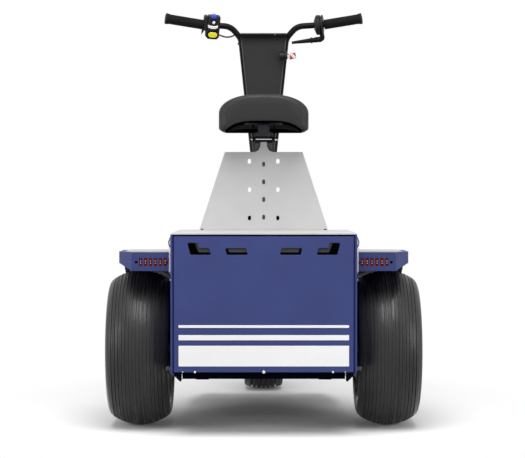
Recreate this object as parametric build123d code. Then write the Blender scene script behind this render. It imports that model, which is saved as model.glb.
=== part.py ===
from build123d import *
from math import asin, cos, degrees, radians, sin, sqrt, tan
import os

# Electric tow tractor with three wheels, for one rider on a perch seat.
# Millimetres. X is to the right, Y is forward, Z is up. The origin lies on the floor under the
# middle of the machine's box. Each function makes one piece and returns it in this frame.

# Whole machine
REAR_OVERHANG = 300.0      # rear axle back to the rear panel
WHEELBASE = 900.0
SHEET = 3.0                # folded sheet steel
FIT = 0.1                  # radial gap where one piece sits on another
SEAT_GAP = 0.3             # gap where two pieces meet but stay apart
RUNNING_FIT = 0.05         # radial gap of a turning shaft in its bore

# Rear wheels, 18 inch balloon tyres
REAR_TYRE_RADIUS = 228.5
REAR_TYRE_WIDTH = 182.0
REAR_TYRE_GAP = 12.5       # box side to the tyre
REAR_SHOULDER = 78.0       # half-width of the crown arc
REAR_CROWN_DROP = 24.0     # fall of the crown arc at its edges
REAR_BEAD_RADIUS = 102.0
REAR_BEAD_WIDTH = 124.0
REAR_AXLE_RADIUS = 15.0

# Front wheel, 13 inch tyre
FRONT_TYRE_RADIUS = 165.0
FRONT_TYRE_WIDTH = 134.0
FRONT_SHOULDER = 58.0
FRONT_CROWN_DROP = 9.0
FRONT_BEAD_RADIUS = 77.0
FRONT_BEAD_WIDTH = 96.0
FRONT_AXLE_RADIUS = 10.0

# Steps that the round stretches of a tyre's section are made in
CROWN_STEPS = 2
TURN_STEPS = 2

# Rims
FLANGE_HEIGHT = 11.0
FLANGE_WALL = 4.0
RIM_WALL = 6.0
DISC_WALL = 6.0
HUB_WALL = 15.0
HUB_OVERHANG = 14.0
CAP_DEPTH = 10.0
HUB_CHAMFER = 3.0
CAP_INSET = 4.0
STUD_RADIUS = 5.0
STUD_REACH = 8.0           # out of the disc
STUD_COUNT = 4
AXLE_NUT_DEPTH = 7.0
AXLE_NUT_RATIO = 1.7

# Rear box
BODY_HALF = 260.0
BODY_AHEAD = 200.0         # rear axle forward to the box's front
BODY_DROP = 42.5           # rear axle down to the box's floor
BODY_HEIGHT = 384.0
LID_GAP = 3.0              # dark line between the rear panel and the lid
LID_LIP = 12.0
LID_LIP_BACK = 14.0        # rear panel to the lid's lip
REAR_SEAM = 1.5
REAR_RETURN = 8.0          # rear return of the side panels
REAR_FLANGE_DEPTH = 30.0
SIDE_TURN_IN = 23.0        # width and height of the bent lower edge
AXLE_HOLE_GAP = 3.0
AXLE_TUBE_REACH = 2.0      # out of the sides
BATTERY_GAP = 7.0          # battery and cheeks to the front wall
AXLE_TUBE_RADIUS = 30.0

# Rear panel slots: outline of the left one, each has its mirror image. The first number is a
# share of the box's half-width, the second is measured down from the box's top.
SLOT_OUTLINES = {
    "corner slot": [(0.8192, 23.0), (0.7077, 23.0), (0.6946, 37.5),
                    (0.5865, 37.5), (0.5654, 56.2), (0.7877, 56.2)],
    "middle slot": [(0.4115, 37.5), (0.1923, 37.5), (0.1712, 56.2), (0.3962, 56.2)],
}
SLOT_ROUNDING = 3.0

# Floor pan, drive and battery
PAN_WINDOW_EDGE = 10.0     # cheeks to the window
PAN_WINDOW_REAR = 145.0
PAN_WINDOW_FRONT = 75.0
CHEEK_GAP = 35.0           # box side to the axle cheeks' inner faces
CHEEK_WALL = 6.0
CHEEK_REAR = 150.0
CHEEK_HEIGHT = 86.0
GEAR_RADIUS = 46.0
GEAR_HALF = 55.0
MOTOR_RADIUS = 40.0
MOTOR_OFFSET = 92.0
MOTOR_LEFT = 150.0
MOTOR_RIGHT = 70.0
BATTERY_SIDE_GAP = 25.0    # box side to the battery
BATTERY_TOP_GAP = 30.0     # battery to the lid
BATTERY_ROUNDING = 8.0

# Chassis rails, footboard and steering neck
RAIL_WIDTH = 40.0
RAIL_DEPTH = 18.0
RAIL_GAP = 50.0            # box side to the rail's outer face
RAIL_REAR = 268.0          # rear axle back to the rails' ends
REAR_BEAM_GAP = 32.0       # box side to the beam's end
REAR_BEAM_WIDTH = 25.0
REAR_BEAM_DEPTH = 24.0
RAIL_WALL_STEP = 8.0       # the slope's lower face starts this much further back
RAIL_DROP = 68.0           # length of the slope down to the footboard
FOOTBOARD_TOP = 130.0
FOOTBOARD_LIP = 20.0
FOOTBOARD_INSET = 7.0      # box side to the footboard's edge
FOOTBOARD_NARROWING = 37.0
FOOTBOARD_TAPER = 165.0    # length of the narrowing front end
FOOTBOARD_START_GAP = 5.0  # box front to the footboard
FOOTBOARD_WHEEL_GAP = 65.0 # footboard to the front tyre
MAT_MARGIN = 18.0
MAT_WALL = 4.0
MAT_NECK_GAP = 6.0
NECK_HALF = 20.0
NECK_DEPTH = 45.0
NECK_BEND_HEIGHT = 395.0
NECK_REAR_BEND = 455.0
HEAD_RADIUS = 32.0
NECK_SINK = 8.0            # the neck runs this far into the head tube
HEAD_GAP = 58.0            # crown's top up to the head tube
HEAD_LENGTH = 170.0
STEM_RADIUS = 20.0

# Fenders
FENDER_GAP = 11.0          # box side to the fender
FENDER_WIDTH = 147.0
FENDER_CHAMFER = 42.0      # width of the cut rear corner
FENDER_CHAMFER_Y = 74.0
FENDER_REAR = 200.0        # rear axle back to the rear face
FENDER_FRONT = 230.0
FENDER_FLAT_END = 20.0
FENDER_BEND_STEP = 8.0
FENDER_RISE = 60.0         # tyre's top up to the fender's top
FENDER_REAR_DEPTH = 53.0
FENDER_SIDE_DEPTH = 33.0
FENDER_FALL = 97.0         # drop of the top to its front end
FENDER_FRONT_DEPTH = 37.0
UPSTAND_BELOW = 55.0       # fender's top down to the upstand's lower end
UPSTAND_ABOVE = 21.0
UPSTAND_LENGTH = 165.0
UPSTAND_GAP = 2.5          # box side to the upstand
TOP_PLATE_WALL = 2.0
TOP_PLATE_EDGE = 22.0      # fender's outer edge to the plate
TOP_PLATE_LENGTH = 190.0
TOP_PLATE_MARGIN = 4.0
GUSSET_WIDTH = 28.0
GUSSET_HEIGHT = 12.0

# Lamps: one row of upright slots in each fender's rear face
LAMP_COUNT = 6
LAMP_START = 8.7           # fender's inner edge to the first slot's centre
LAMP_PITCH = 14.05
LAMP_WIDTH = 9.1
LAMP_DROP = 40.0           # fender's top down to the slots' lower ends
LAMP_HEIGHT = 24.0
LAMP_BACK = 6.0
LAMP_MARGIN = 5.0
LAMP_SINK = 1.5            # the pads lie this far inside the slots
FENDER_HOLE_IN = 54.7      # fender's outer edge to the hole
FENDER_HOLE_RADIUS = 4.0

# Seat tower
TOWER_GAP = 45.0           # tower's rear face to the box's front
TOWER_SIDE_GAP = 63.0      # box side to the tower's foot
TOWER_NARROWING = 78.0     # the top's half-width is this much less than the foot's
TOWER_HEIGHT = 239.0
TOWER_DEPTH = 92.0
TOWER_TOP_DEPTH = 58.0
NECK_PLATE_HALF = 10.0
NECK_FILLET = 22.0
POST_HALF = 20.0
FOOT_LENGTH = 30.0

# Upright slots of the tower: two outer rows and one in the middle, each from a first slot above
# the lid to a last one below the tower's top
TOWER_SLOT_HEIGHT = 15.0
OUTER_SLOT_COUNT = 3
OUTER_SLOT_X = 43.5
OUTER_SLOT_WIDTH = 10.5
OUTER_SLOT_LOW = 36.9
OUTER_SLOT_HIGH = 28.3
MIDDLE_SLOT_COUNT = 4
MIDDLE_SLOT_WIDTH = 9.0
MIDDLE_SLOT_LOW = 39.3
MIDDLE_SLOT_HIGH = 37.4

# Seat and its pivot
SEAT_HALF = 135.0
SEAT_LENGTH = 280.0
SEAT_BACK = 125.0          # tower's rear face back to the seat's rear
SEAT_RISE = 58.0           # tower's top up to the seat
SEAT_HEIGHT = 111.0
SEAT_SHOULDER_DROP = 52.0
SEAT_CROWN_HALF = 60.0     # half-width of the nearly flat top
SEAT_CROWN_DROP = 2.0
SEAT_BEND_STEPS = 4
SEAT_RECESS_HALF = 119.0
SEAT_RECESS_RISE = 31.0
SEAT_RECESS_FLAT = 78.0
SEAT_RECESS_SHARE = 0.72   # height share of the arch's middle point
SEAT_FRONT_WALL = 25.0
SEAT_END_ROUNDING = 14.0
SEAT_LOWER_ROUNDING = 9.0
SEAT_CORNER_ROUNDING = 32.0
PAN_HALF = 58.0
PAN_LENGTH = 190.0
PAN_WALL = 4.0
BOLT_RADIUS = 3.0
BOLT_DROP = 18.4           # seat's lower edge down to the bolt
BOLT_HEAD_RATIO = 1.8
BOLT_NUT_RATIO = 1.3
BOLT_HEAD_DEPTH = 9.0
BOLT_NUT_DEPTH = 4.0
CLEVIS_HALF = 30.0
CLEVIS_WALL = 4.0
CLEVIS_DEPTH = 40.0
CLEVIS_FOOT = 20.0
CLEVIS_DROP = 10.0         # bolt centre down to the plates' lower ends
CASTING_DEPTH = 30.0
CHEEK_INNER = 11.0
CHEEK_OUTER = 26.5
CHEEK_RISE = 21.0          # bolt centre up to the tops of the casting's cheeks
FUNNEL_FOOT_HALF = 7.0
FUNNEL_HALF = 18.0
FUNNEL_RIM = 14.0

# Steering axis, fork and column, measured along the axis from the front wheel's centre
RAKE = 16.0                # degrees that the axis leans back
FORK_GAP = 7.0             # tyre to fork leg
FORK_LEG_WALL = 10.0
FORK_LEG_HALF = 22.0
FORK_FOOT_RADIUS = 17.6
CROWN_GAP = 47.0           # tyre to the crown
CROWN_DEPTH = 30.0
RACE_RADIUS = 30.0
COLLAR_HALF = 28.0
COLUMN_GAP = 30.0          # head tube's top up to the column's foot
COLUMN_FOOT_HALF = 17.0
COLUMN_TOP_HALF = 75.0
COLUMN_LENGTH = 578.0
BAR_RADIUS = 10.0
BAR_BEND_REACH = 35.0      # outward from the column's top
BAR_BEND_RISE = 41.0
BAR_KNEE_REACH = 93.5      # outward from the bend
BAR_KNEE_RISE = 8.5
BAR_KNEE_BACK = 11.5
BAR_END_REACH = 116.5      # outward from the knee
BAR_END_RISE = 23.5
BAR_END_BACK = 34.0
BAR_BEND_RADIUS = 50.0
BAR_KNEE_RADIUS = 60.0
FOOT_PLATE_LENGTH = 70.0
FOOT_PLATE_MARGIN = 3.0
FOOT_PLATE_DEPTH = 6.0     # beyond the stem, front and rear
STEM_TOP_GAP = 10.0        # the stem ends this far below the tubes' feet
PANEL_RISE = 60.0          # column's foot up to the panel
PANEL_WALL = 2.0
PANEL_OVERLAP = 2.0        # panel edge beyond the tube's middle line
LIP_WIDTH = 4.0
LIP_WALL = 2.0
LIP_INSET = 1.0
LIP_SHORT = 12.0           # the lips end this far inside the panel's ends
CONSOLE_DEPTH = 16.0
CONSOLE_HEIGHT = 12.5
CONSOLE_DROP = 20.0        # bar's bend down to the console's top
CONSOLE_REACH = 1.0        # beyond the tubes' middle lines

# Grips and controls
GRIP_RADIUS = 16.5
GRIP_START = 1.0           # the grip starts this far before the bar's knee
GRIP_RELIEF = 4.0          # wider bore past the knee
GRIP_RELIEF_GAP = 1.0
GRIP_BEAD = 2.0            # the outer end is this much thicker
GRIP_BEAD_WALL = 6.0
GRIP_END_WALL = 4.0
CONTROL_GAP = 4.5          # bar's knee to the controls
SWITCH_WIDTH = 53.0
SWITCH_DEPTH = 36.0
SWITCH_ABOVE = 34.0        # bar centre up to the housing's top
SWITCH_BELOW = 18.0        # bar centre down to the housing's lower end
SWITCH_ROUNDING = 6.0
POD_INSET = 2.0            # the lower pod starts this far inside the housing
POD_WIDTH = 44.0
POD_DROP = 44.0            # bar centre down to the pod's lower end
POD_DEPTH = 30.0
POD_CHAMFER = 9.0
BUTTON_SIZE = 18.0
BUTTON_HEIGHT = 6.0
TRIGGER_REACH = 6.0
TRIGGER_DEPTH = 12.0
TRIGGER_TOP = 8.0
TRIGGER_LOW = 30.0
LEVER_HUB_WIDTH = 31.0
LEVER_FLANGE_RADIUS = 33.0
LEVER_HUB_RADIUS = 26.0
LEVER_FLANGE_WALL = 8.0
LEVER_HUB_STEP = 2.0
LEVER_ARM_HALF = 6.5
LEVER_BACK = 20.0          # rearward of the axis plane
LEVER_ARM_FORWARD = 12.0   # housing's middle outward to the arm
LEVER_ELBOW = 47.0         # knee height down to the lever
LEVER_TIP_GAP = 18.0       # column's top outward to the lever's tip
LEVER_RADIUS = 7.5
LEVER_TIP_RADIUS = 3.8
LEVER_SLOPE = 7.0
LEVER_COLLARS = (20.0, 36.0)
COLLAR_WALL = 5.0
COLLAR_RADIUS = 8.2
KEY_DROP = 94.0            # bar's bend down to the key
KEY_HOUSING_RADIUS = 15.5
KEY_HOUSING_LENGTH = 26.0
KEY_HOUSING_REACH = 3.0    # beyond the column's top
KEY_RADIUS = 5.0
KEY_REACH = 8.0
TAG_SIZE = 24.0
TAG_TILT = 12.0
TAG_WALL = 2.0
CABLE_RADIUS = 2.7

# Front mudguard
GUARD_GAP = 12.0
GUARD_WALL = 3.0
GUARD_HALF = 71.0
STAY_HALF = 25.0
STAY_DEPTH = 14.0
GUARD_FRONT = 35.0         # degrees above the horizontal at the front edge
GUARD_REAR = 150.0

# Worked out from the sizes above
LENGTH = REAR_OVERHANG + WHEELBASE + FRONT_TYRE_RADIUS
REAR_Y = REAR_OVERHANG - LENGTH / 2
FRONT_Y = REAR_Y + WHEELBASE
BODY_REAR = REAR_Y - REAR_OVERHANG
BODY_FRONT = REAR_Y + BODY_AHEAD
BODY_FLOOR = REAR_TYRE_RADIUS - BODY_DROP
BODY_TOP = BODY_FLOOR + BODY_HEIGHT
REAR_TRACK = 2 * (BODY_HALF + REAR_TYRE_GAP) + REAR_TYRE_WIDTH
PAN_LOW = BODY_FLOOR + SHEET
PAN_HIGH = PAN_LOW + SHEET
CHEEK_HALF = BODY_HALF - CHEEK_GAP
CHEEK_TOP = PAN_HIGH + CHEEK_HEIGHT
CHEEK_FRONT = BODY_FRONT - SHEET - BATTERY_GAP
PAN_WINDOW_HALF = CHEEK_HALF - PAN_WINDOW_EDGE
BATTERY_HALF = BODY_HALF - BATTERY_SIDE_GAP
AXLE_HALF = BODY_HALF + AXLE_TUBE_REACH
RAIL_INNER = BODY_HALF - RAIL_GAP - RAIL_WIDTH
RAIL_TOP = FOOTBOARD_TOP - SHEET
REAR_BEAM_HALF = BODY_HALF - REAR_BEAM_GAP
FOOTBOARD_HALF = BODY_HALF - FOOTBOARD_INSET
FOOTBOARD_FRONT_HALF = FOOTBOARD_HALF - FOOTBOARD_NARROWING
FOOTBOARD_START = BODY_FRONT + FOOTBOARD_START_GAP
FOOTBOARD_END = FRONT_Y - FRONT_TYRE_RADIUS - FOOTBOARD_WHEEL_GAP
NECK_START = FOOTBOARD_END - SHEET - NECK_DEPTH
FENDER_BACK = REAR_Y - FENDER_REAR
FENDER_INNER = BODY_HALF + FENDER_GAP
FENDER_OUTER = FENDER_INNER + FENDER_WIDTH
FENDER_CHAMFER_X = FENDER_OUTER - FENDER_CHAMFER
FENDER_HOLE_X = FENDER_OUTER - FENDER_HOLE_IN
FENDER_TOP = 2 * REAR_TYRE_RADIUS + FENDER_RISE
UPSTAND_LOW = FENDER_TOP - UPSTAND_BELOW
UPSTAND_HIGH = FENDER_TOP + UPSTAND_ABOVE
TOP_PLATE_OUTER = FENDER_OUTER - TOP_PLATE_EDGE
LAMP_LOW = FENDER_TOP - LAMP_DROP
LAMP_HIGH = LAMP_LOW + LAMP_HEIGHT
LID_TOP = BODY_TOP + SHEET
TOWER_BACK = BODY_FRONT - TOWER_GAP
TOWER_FOOT_HALF = BODY_HALF - TOWER_SIDE_GAP
TOWER_TOP_HALF = TOWER_FOOT_HALF - TOWER_NARROWING
TOWER_TOP = LID_TOP + TOWER_HEIGHT
SEAT_REAR = TOWER_BACK - SEAT_BACK
SEAT_BOTTOM = TOWER_TOP + SEAT_RISE
SEAT_TOP = SEAT_BOTTOM + SEAT_HEIGHT
SEAT_SHOULDER = SEAT_TOP - SEAT_SHOULDER_DROP
PIVOT_Y = TOWER_BACK + SHEET / 2
BOLT_Z = SEAT_BOTTOM - BOLT_DROP
NECK_PLATE_TOP = BOLT_Z - 3 * BOLT_RADIUS
PAN_TOP = SEAT_BOTTOM + SEAT_RECESS_RISE - SEAT_GAP
FORK_INNER = FRONT_TYRE_WIDTH / 2 + FORK_GAP
FORK_OUTER = FORK_INNER + FORK_LEG_WALL
CROWN_START = FRONT_TYRE_RADIUS + CROWN_GAP
HEAD_START = CROWN_START + CROWN_DEPTH + HEAD_GAP
COLUMN_START = HEAD_START + HEAD_LENGTH + COLUMN_GAP
COLUMN_BEND = COLUMN_START + COLUMN_LENGTH
STEM_END = COLUMN_START - STEM_TOP_GAP
BAR_BEND_HALF = COLUMN_TOP_HALF + BAR_BEND_REACH
BAR_BEND = COLUMN_BEND + BAR_BEND_RISE
BAR_KNEE_HALF = BAR_BEND_HALF + BAR_KNEE_REACH
BAR_KNEE = BAR_BEND + BAR_KNEE_RISE
BAR_END_HALF = BAR_KNEE_HALF + BAR_END_REACH
BAR_END = BAR_KNEE + BAR_END_RISE
PANEL_START = COLUMN_START + PANEL_RISE
PANEL_BACK = BAR_RADIUS + SEAT_GAP
CONSOLE_HALF = COLUMN_TOP_HALF + CONSOLE_REACH
CONSOLE_LOW = BAR_BEND - CONSOLE_DROP - CONSOLE_HEIGHT
SWITCH_INNER = BAR_KNEE_HALF - CONTROL_GAP - SWITCH_WIDTH
LEVER_HUB_INNER = BAR_KNEE_HALF - CONTROL_GAP - LEVER_HUB_WIDTH
LEVER_TIP_HALF = COLUMN_TOP_HALF + LEVER_TIP_GAP
KEY_ALONG = BAR_BEND - KEY_DROP
KEY_HOUSING_OUTER = COLUMN_TOP_HALF + KEY_HOUSING_REACH
KEY_HOUSING_INNER = KEY_HOUSING_OUTER - KEY_HOUSING_LENGTH
KEY_BACK = PANEL_BACK + PANEL_WALL + LIP_WALL + SEAT_GAP + KEY_HOUSING_RADIUS
BASE = (Align.CENTER, Align.CENTER, Align.MIN)
STEERING = Pos(0, FRONT_Y, FRONT_TYRE_RADIUS) * Rot(RAKE, 0, 0)


def block(x, y, z):
    """Box from three (low, high) pairs."""
    size = (x[1] - x[0], y[1] - y[0], z[1] - z[0])
    middle = ((x[0] + x[1]) / 2, (y[0] + y[1]) / 2, (z[0] + z[1]) / 2)
    return Pos(*middle) * Box(*size)


def outline(*points):
    """Closed face with straight sides."""
    return make_face(Polyline(*points, close=True))


def prism_x(face, low, high):
    """Face drawn in (y, z), carried along X."""
    return extrude(Plane.YZ.offset(low) * face, amount=high - low, dir=(1, 0, 0))


def prism_y(face, low, high):
    """Face drawn in (x, z), carried along Y."""
    return extrude(Plane.XZ.offset(-low) * face, amount=high - low, dir=(0, 1, 0))


def prism_z(face, low, high):
    """Face drawn in (x, y), carried along Z."""
    return extrude(Plane.XY.offset(low) * face, amount=high - low, dir=(0, 0, 1))


def flipped(shape):
    """The same shape on the other side of the machine."""
    return mirror(shape, about=Plane.YZ)


def rod_x(radius, low, high, y, z):
    """Round bar along X."""
    return Pos(low, y, z) * Rot(0, 90, 0) * Cylinder(radius, high - low, align=BASE)


def on_bar(start, end):
    """Frame at start with its Z along the bar towards end, X forward and Y up."""
    return Plane(origin=start, x_dir=(0, 1, 0), z_dir=Vector(*end) - Vector(*start))


def arc_points(centre, radius, start, end, steps):
    """Points after the first one on an arc, from angle start to end in degrees."""
    angles = [start + (end - start) * (i + 1) / steps for i in range(steps)]
    return [(centre[0] + radius * cos(radians(a)), centre[1] + radius * sin(radians(a))) for a in angles]


# Wheels

def tyre(radius, width, shoulder, crown_drop, bead_radius, bead_width):
    """Tyre about X: crown arc, shoulder arc, leaning side and bead. Its arcs are drawn in short
    straight steps, which keeps the turned faces few."""
    flange_radius = bead_radius + FLANGE_HEIGHT + SEAT_GAP
    crown_radius = (shoulder ** 2 + crown_drop ** 2) / (2 * crown_drop)
    slope = asin(shoulder / crown_radius)
    turn_radius = (width / 2 - shoulder) / (1 - sin(slope))
    widest = radius - crown_drop - turn_radius * cos(slope)
    lean = 90 - degrees(slope)
    right = [(0, radius)]
    right += arc_points((0, radius - crown_radius), crown_radius, 90, lean, CROWN_STEPS)
    right += arc_points((width / 2 - turn_radius, widest), turn_radius, lean, 0, TURN_STEPS)
    right += [(bead_width / 2, flange_radius), (bead_width / 2, bead_radius)]
    left = [(-x, r) for x, r in reversed(right[1:])]
    return revolve(outline(*right, *left), axis=Axis.X)


def rim(bead_radius, bead_width, axle_radius, disc_x, cap_side):
    """Pressed rim about X with flanges, a disc, studs and a hub bored for the axle."""
    half = bead_width / 2 + SEAT_GAP
    outer = bead_radius - FIT
    edge = half + FLANGE_WALL
    top = outer + FLANGE_HEIGHT
    barrel = outline((-edge, top), (-half, top), (-half, outer), (half, outer), (half, top), (edge, top),
                     (edge, outer - RIM_WALL), (-edge, outer - RIM_WALL))
    bore = axle_radius + RUNNING_FIT
    hub_radius = axle_radius + HUB_WALL
    hub_end = half + HUB_OVERHANG
    hub = outline((-half, bore), (hub_end, bore), (hub_end, hub_radius - HUB_CHAMFER),
                  (hub_end - HUB_CHAMFER, hub_radius), (-half, hub_radius))
    disc_low = hub_radius - SHEET
    disc_high = outer - RIM_WALL + SHEET
    disc = outline((disc_x, disc_low), (disc_x + DISC_WALL, disc_low),
                   (disc_x + DISC_WALL, disc_high), (disc_x, disc_high))
    wheel = revolve(barrel + hub + disc, axis=Axis.X)
    ring = (hub_radius + outer - RIM_WALL) / 2
    stud = Cylinder(STUD_RADIUS, DISC_WALL + STUD_REACH, align=BASE)
    for spot in PolarLocations(ring, STUD_COUNT):
        wheel += Pos(disc_x, 0, 0) * Rot(0, 90, 0) * spot * stud
    if cap_side:
        wheel += rod_x(hub_radius - CAP_INSET, hub_end, hub_end + CAP_DEPTH, 0, 0)
    return wheel


def rear_tyre_right():
    """Right rear balloon tyre."""
    ring = tyre(REAR_TYRE_RADIUS, REAR_TYRE_WIDTH, REAR_SHOULDER, REAR_CROWN_DROP,
                REAR_BEAD_RADIUS, REAR_BEAD_WIDTH)
    return Pos(REAR_TRACK / 2, REAR_Y, REAR_TYRE_RADIUS) * ring


def rear_rim_right():
    """Right rear rim, its disc near the outer side and a dust cap on the hub."""
    wheel = rim(REAR_BEAD_RADIUS, REAR_BEAD_WIDTH, REAR_AXLE_RADIUS, REAR_BEAD_WIDTH / 4, True)
    return Pos(REAR_TRACK / 2, REAR_Y, REAR_TYRE_RADIUS) * wheel


def front_tyre():
    """Small steered tyre."""
    ring = tyre(FRONT_TYRE_RADIUS, FRONT_TYRE_WIDTH, FRONT_SHOULDER, FRONT_CROWN_DROP,
                FRONT_BEAD_RADIUS, FRONT_BEAD_WIDTH)
    return Pos(0, FRONT_Y, FRONT_TYRE_RADIUS) * ring


def front_rim():
    """Front rim, open on both sides so that the axle runs through."""
    wheel = rim(FRONT_BEAD_RADIUS, FRONT_BEAD_WIDTH, FRONT_AXLE_RADIUS, -DISC_WALL / 2, False)
    return Pos(0, FRONT_Y, FRONT_TYRE_RADIUS) * wheel


def front_axle():
    """Axle through the front hub and both fork legs, with a nut on each end."""
    start = FORK_OUTER + SEAT_GAP
    reach = start + AXLE_NUT_DEPTH + SHEET
    bar = rod_x(FRONT_AXLE_RADIUS, -reach, reach, 0, 0)
    face = RegularPolygon(FRONT_AXLE_RADIUS * AXLE_NUT_RATIO, 6)
    for low in (start, -start - AXLE_NUT_DEPTH):
        bar += prism_x(face, low, low + AXLE_NUT_DEPTH)
    return Pos(0, FRONT_Y, FRONT_TYRE_RADIUS) * bar


# Rear box

def side_panel_right():
    """Right side of the box: flat sheet, lower edge bent inward, narrow return at the rear."""
    outer = BODY_HALF
    inner = BODY_HALF - SHEET
    slant = SHEET * (sqrt(2) - 1)
    tip_x = inner - SIDE_TURN_IN
    tip_z = BODY_FLOOR + slant - SIDE_TURN_IN
    across = SHEET / sqrt(2)
    section = outline((outer, BODY_TOP), (inner, BODY_TOP), (inner, BODY_FLOOR + slant), (tip_x, tip_z),
                      (tip_x + across, tip_z - across), (outer, BODY_FLOOR))
    panel = prism_y(section, BODY_REAR, BODY_FRONT)
    panel += block((outer - REAR_RETURN, outer), (BODY_REAR, BODY_REAR + SHEET),
                   (BODY_FLOOR + SHEET, BODY_TOP))
    hole = rod_x(AXLE_TUBE_RADIUS + AXLE_HOLE_GAP, inner - 1, outer + 1, REAR_Y, REAR_TYRE_RADIUS)
    return panel - hole


def rear_panel():
    """Rear panel with its cut slots and a lower flange bent forward."""
    half = BODY_HALF - REAR_RETURN - REAR_SEAM
    panel = block((-half, half), (BODY_REAR, BODY_REAR + SHEET), (BODY_FLOOR, BODY_TOP - LID_GAP))
    panel += block((-half, half), (BODY_REAR, BODY_REAR + REAR_FLANGE_DEPTH),
                   (BODY_FLOOR, BODY_FLOOR + SHEET))
    for points in SLOT_OUTLINES.values():
        face = outline(*[(-share * BODY_HALF, BODY_TOP - drop) for share, drop in points])
        face = fillet(face.vertices(), SLOT_ROUNDING)
        cut = prism_y(face, BODY_REAR - 1, BODY_REAR + SHEET + 1)
        panel -= cut + flipped(cut)
    return panel


def front_panel():
    """Front wall of the box, down to the footboard."""
    half = BODY_HALF - SHEET - SEAT_GAP
    return block((-half, half), (BODY_FRONT - SHEET, BODY_FRONT), (PAN_HIGH, BODY_TOP))


def top_lid():
    """Lid over the battery with a shallow lip inside the side panels."""
    lid = block((-BODY_HALF, BODY_HALF), (BODY_REAR, BODY_FRONT), (BODY_TOP, LID_TOP))
    lip = BODY_HALF - 2 * SHEET
    inner = lip - SHEET
    rear = BODY_REAR + LID_LIP_BACK
    front = BODY_FRONT - 2 * SHEET
    ring = block((-lip, lip), (rear, front), (BODY_TOP - LID_LIP, BODY_TOP))
    ring -= block((-inner, inner), (rear + SHEET, front - SHEET), (BODY_TOP - LID_LIP - 1, BODY_TOP + 1))
    return lid + ring


def bottom_pan():
    """Floor of the box with a window for the drive and the two axle cheeks welded on."""
    half = BODY_HALF - SHEET - SEAT_GAP
    pan = block((-half, half), (BODY_REAR + SHEET + SEAT_GAP, BODY_FRONT), (PAN_LOW, PAN_HIGH))
    window = block((-PAN_WINDOW_HALF, PAN_WINDOW_HALF),
                   (REAR_Y - PAN_WINDOW_REAR, REAR_Y + PAN_WINDOW_FRONT), (PAN_LOW - 1, PAN_HIGH + 1))
    return pan - window + axle_cheeks()


def battery_block():
    """Traction battery as one closed block on the axle cheeks."""
    cell = block((-BATTERY_HALF, BATTERY_HALF), (REAR_Y - CHEEK_REAR, CHEEK_FRONT),
                 (CHEEK_TOP, BODY_TOP - BATTERY_TOP_GAP))
    return fillet(cell.edges().filter_by(Axis.Z), BATTERY_ROUNDING)


def rear_transaxle():
    """Axle tube, gear case, drive motor and the two wheel shafts."""
    z = REAR_TYRE_RADIUS
    drive = rod_x(AXLE_TUBE_RADIUS, -AXLE_HALF, AXLE_HALF, REAR_Y, z)
    drive += rod_x(GEAR_RADIUS, -GEAR_HALF, GEAR_HALF, REAR_Y, z)
    drive += rod_x(MOTOR_RADIUS, -MOTOR_LEFT, MOTOR_RIGHT, REAR_Y - MOTOR_OFFSET, z)
    neck = MOTOR_RADIUS - CHEEK_WALL
    drive += block((-GEAR_HALF, GEAR_HALF), (REAR_Y - MOTOR_OFFSET, REAR_Y), (z - neck, z + neck))
    shaft_end = REAR_TRACK / 2 + REAR_BEAD_WIDTH / 2 + HUB_OVERHANG - SHEET
    drive += rod_x(REAR_AXLE_RADIUS, -shaft_end, shaft_end, REAR_Y, z)
    return drive


def corner_brackets():
    """Dark gussets that close the ends of the bent lower edges."""
    top = BODY_FLOOR - SEAT_GAP
    corner = BODY_HALF - SHEET * sqrt(2) - 2 * SEAT_GAP
    inner = BODY_HALF - SHEET - SIDE_TURN_IN
    face = outline((corner, top), (inner, top), (inner, top - corner + inner))
    rear = prism_y(face, BODY_REAR + SHEET, BODY_REAR + 2 * SHEET)
    front = prism_y(face, BODY_FRONT - 2 * SHEET, BODY_FRONT - SHEET)
    right = rear + front
    return right + flipped(right)


# Frame, footboard and steering neck

def on_axis(along, back=0.0):
    """(y, z) of a point along the steering axis, moved back square to it."""
    lean = radians(RAKE)
    y = FRONT_Y - along * sin(lean) - back * cos(lean)
    z = FRONT_TYRE_RADIUS + along * cos(lean) - back * sin(lean)
    return (y, z)


def rail_right():
    """Rail from the rear beam to the footboard's front end, with a slope down ahead of the box."""
    low = RAIL_TOP - RAIL_DEPTH
    rear = REAR_Y - RAIL_REAR
    front = FOOTBOARD_END - SHEET
    slope = FOOTBOARD_START - RAIL_DROP
    face = outline((rear, PAN_LOW), (slope, PAN_LOW), (FOOTBOARD_START, RAIL_TOP), (front, RAIL_TOP),
                   (front, low), (FOOTBOARD_START - RAIL_WALL_STEP, low),
                   (slope - RAIL_WALL_STEP, PAN_LOW - RAIL_DEPTH), (rear, PAN_LOW - RAIL_DEPTH))
    return prism_x(face, RAIL_INNER, RAIL_INNER + RAIL_WIDTH)


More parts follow.
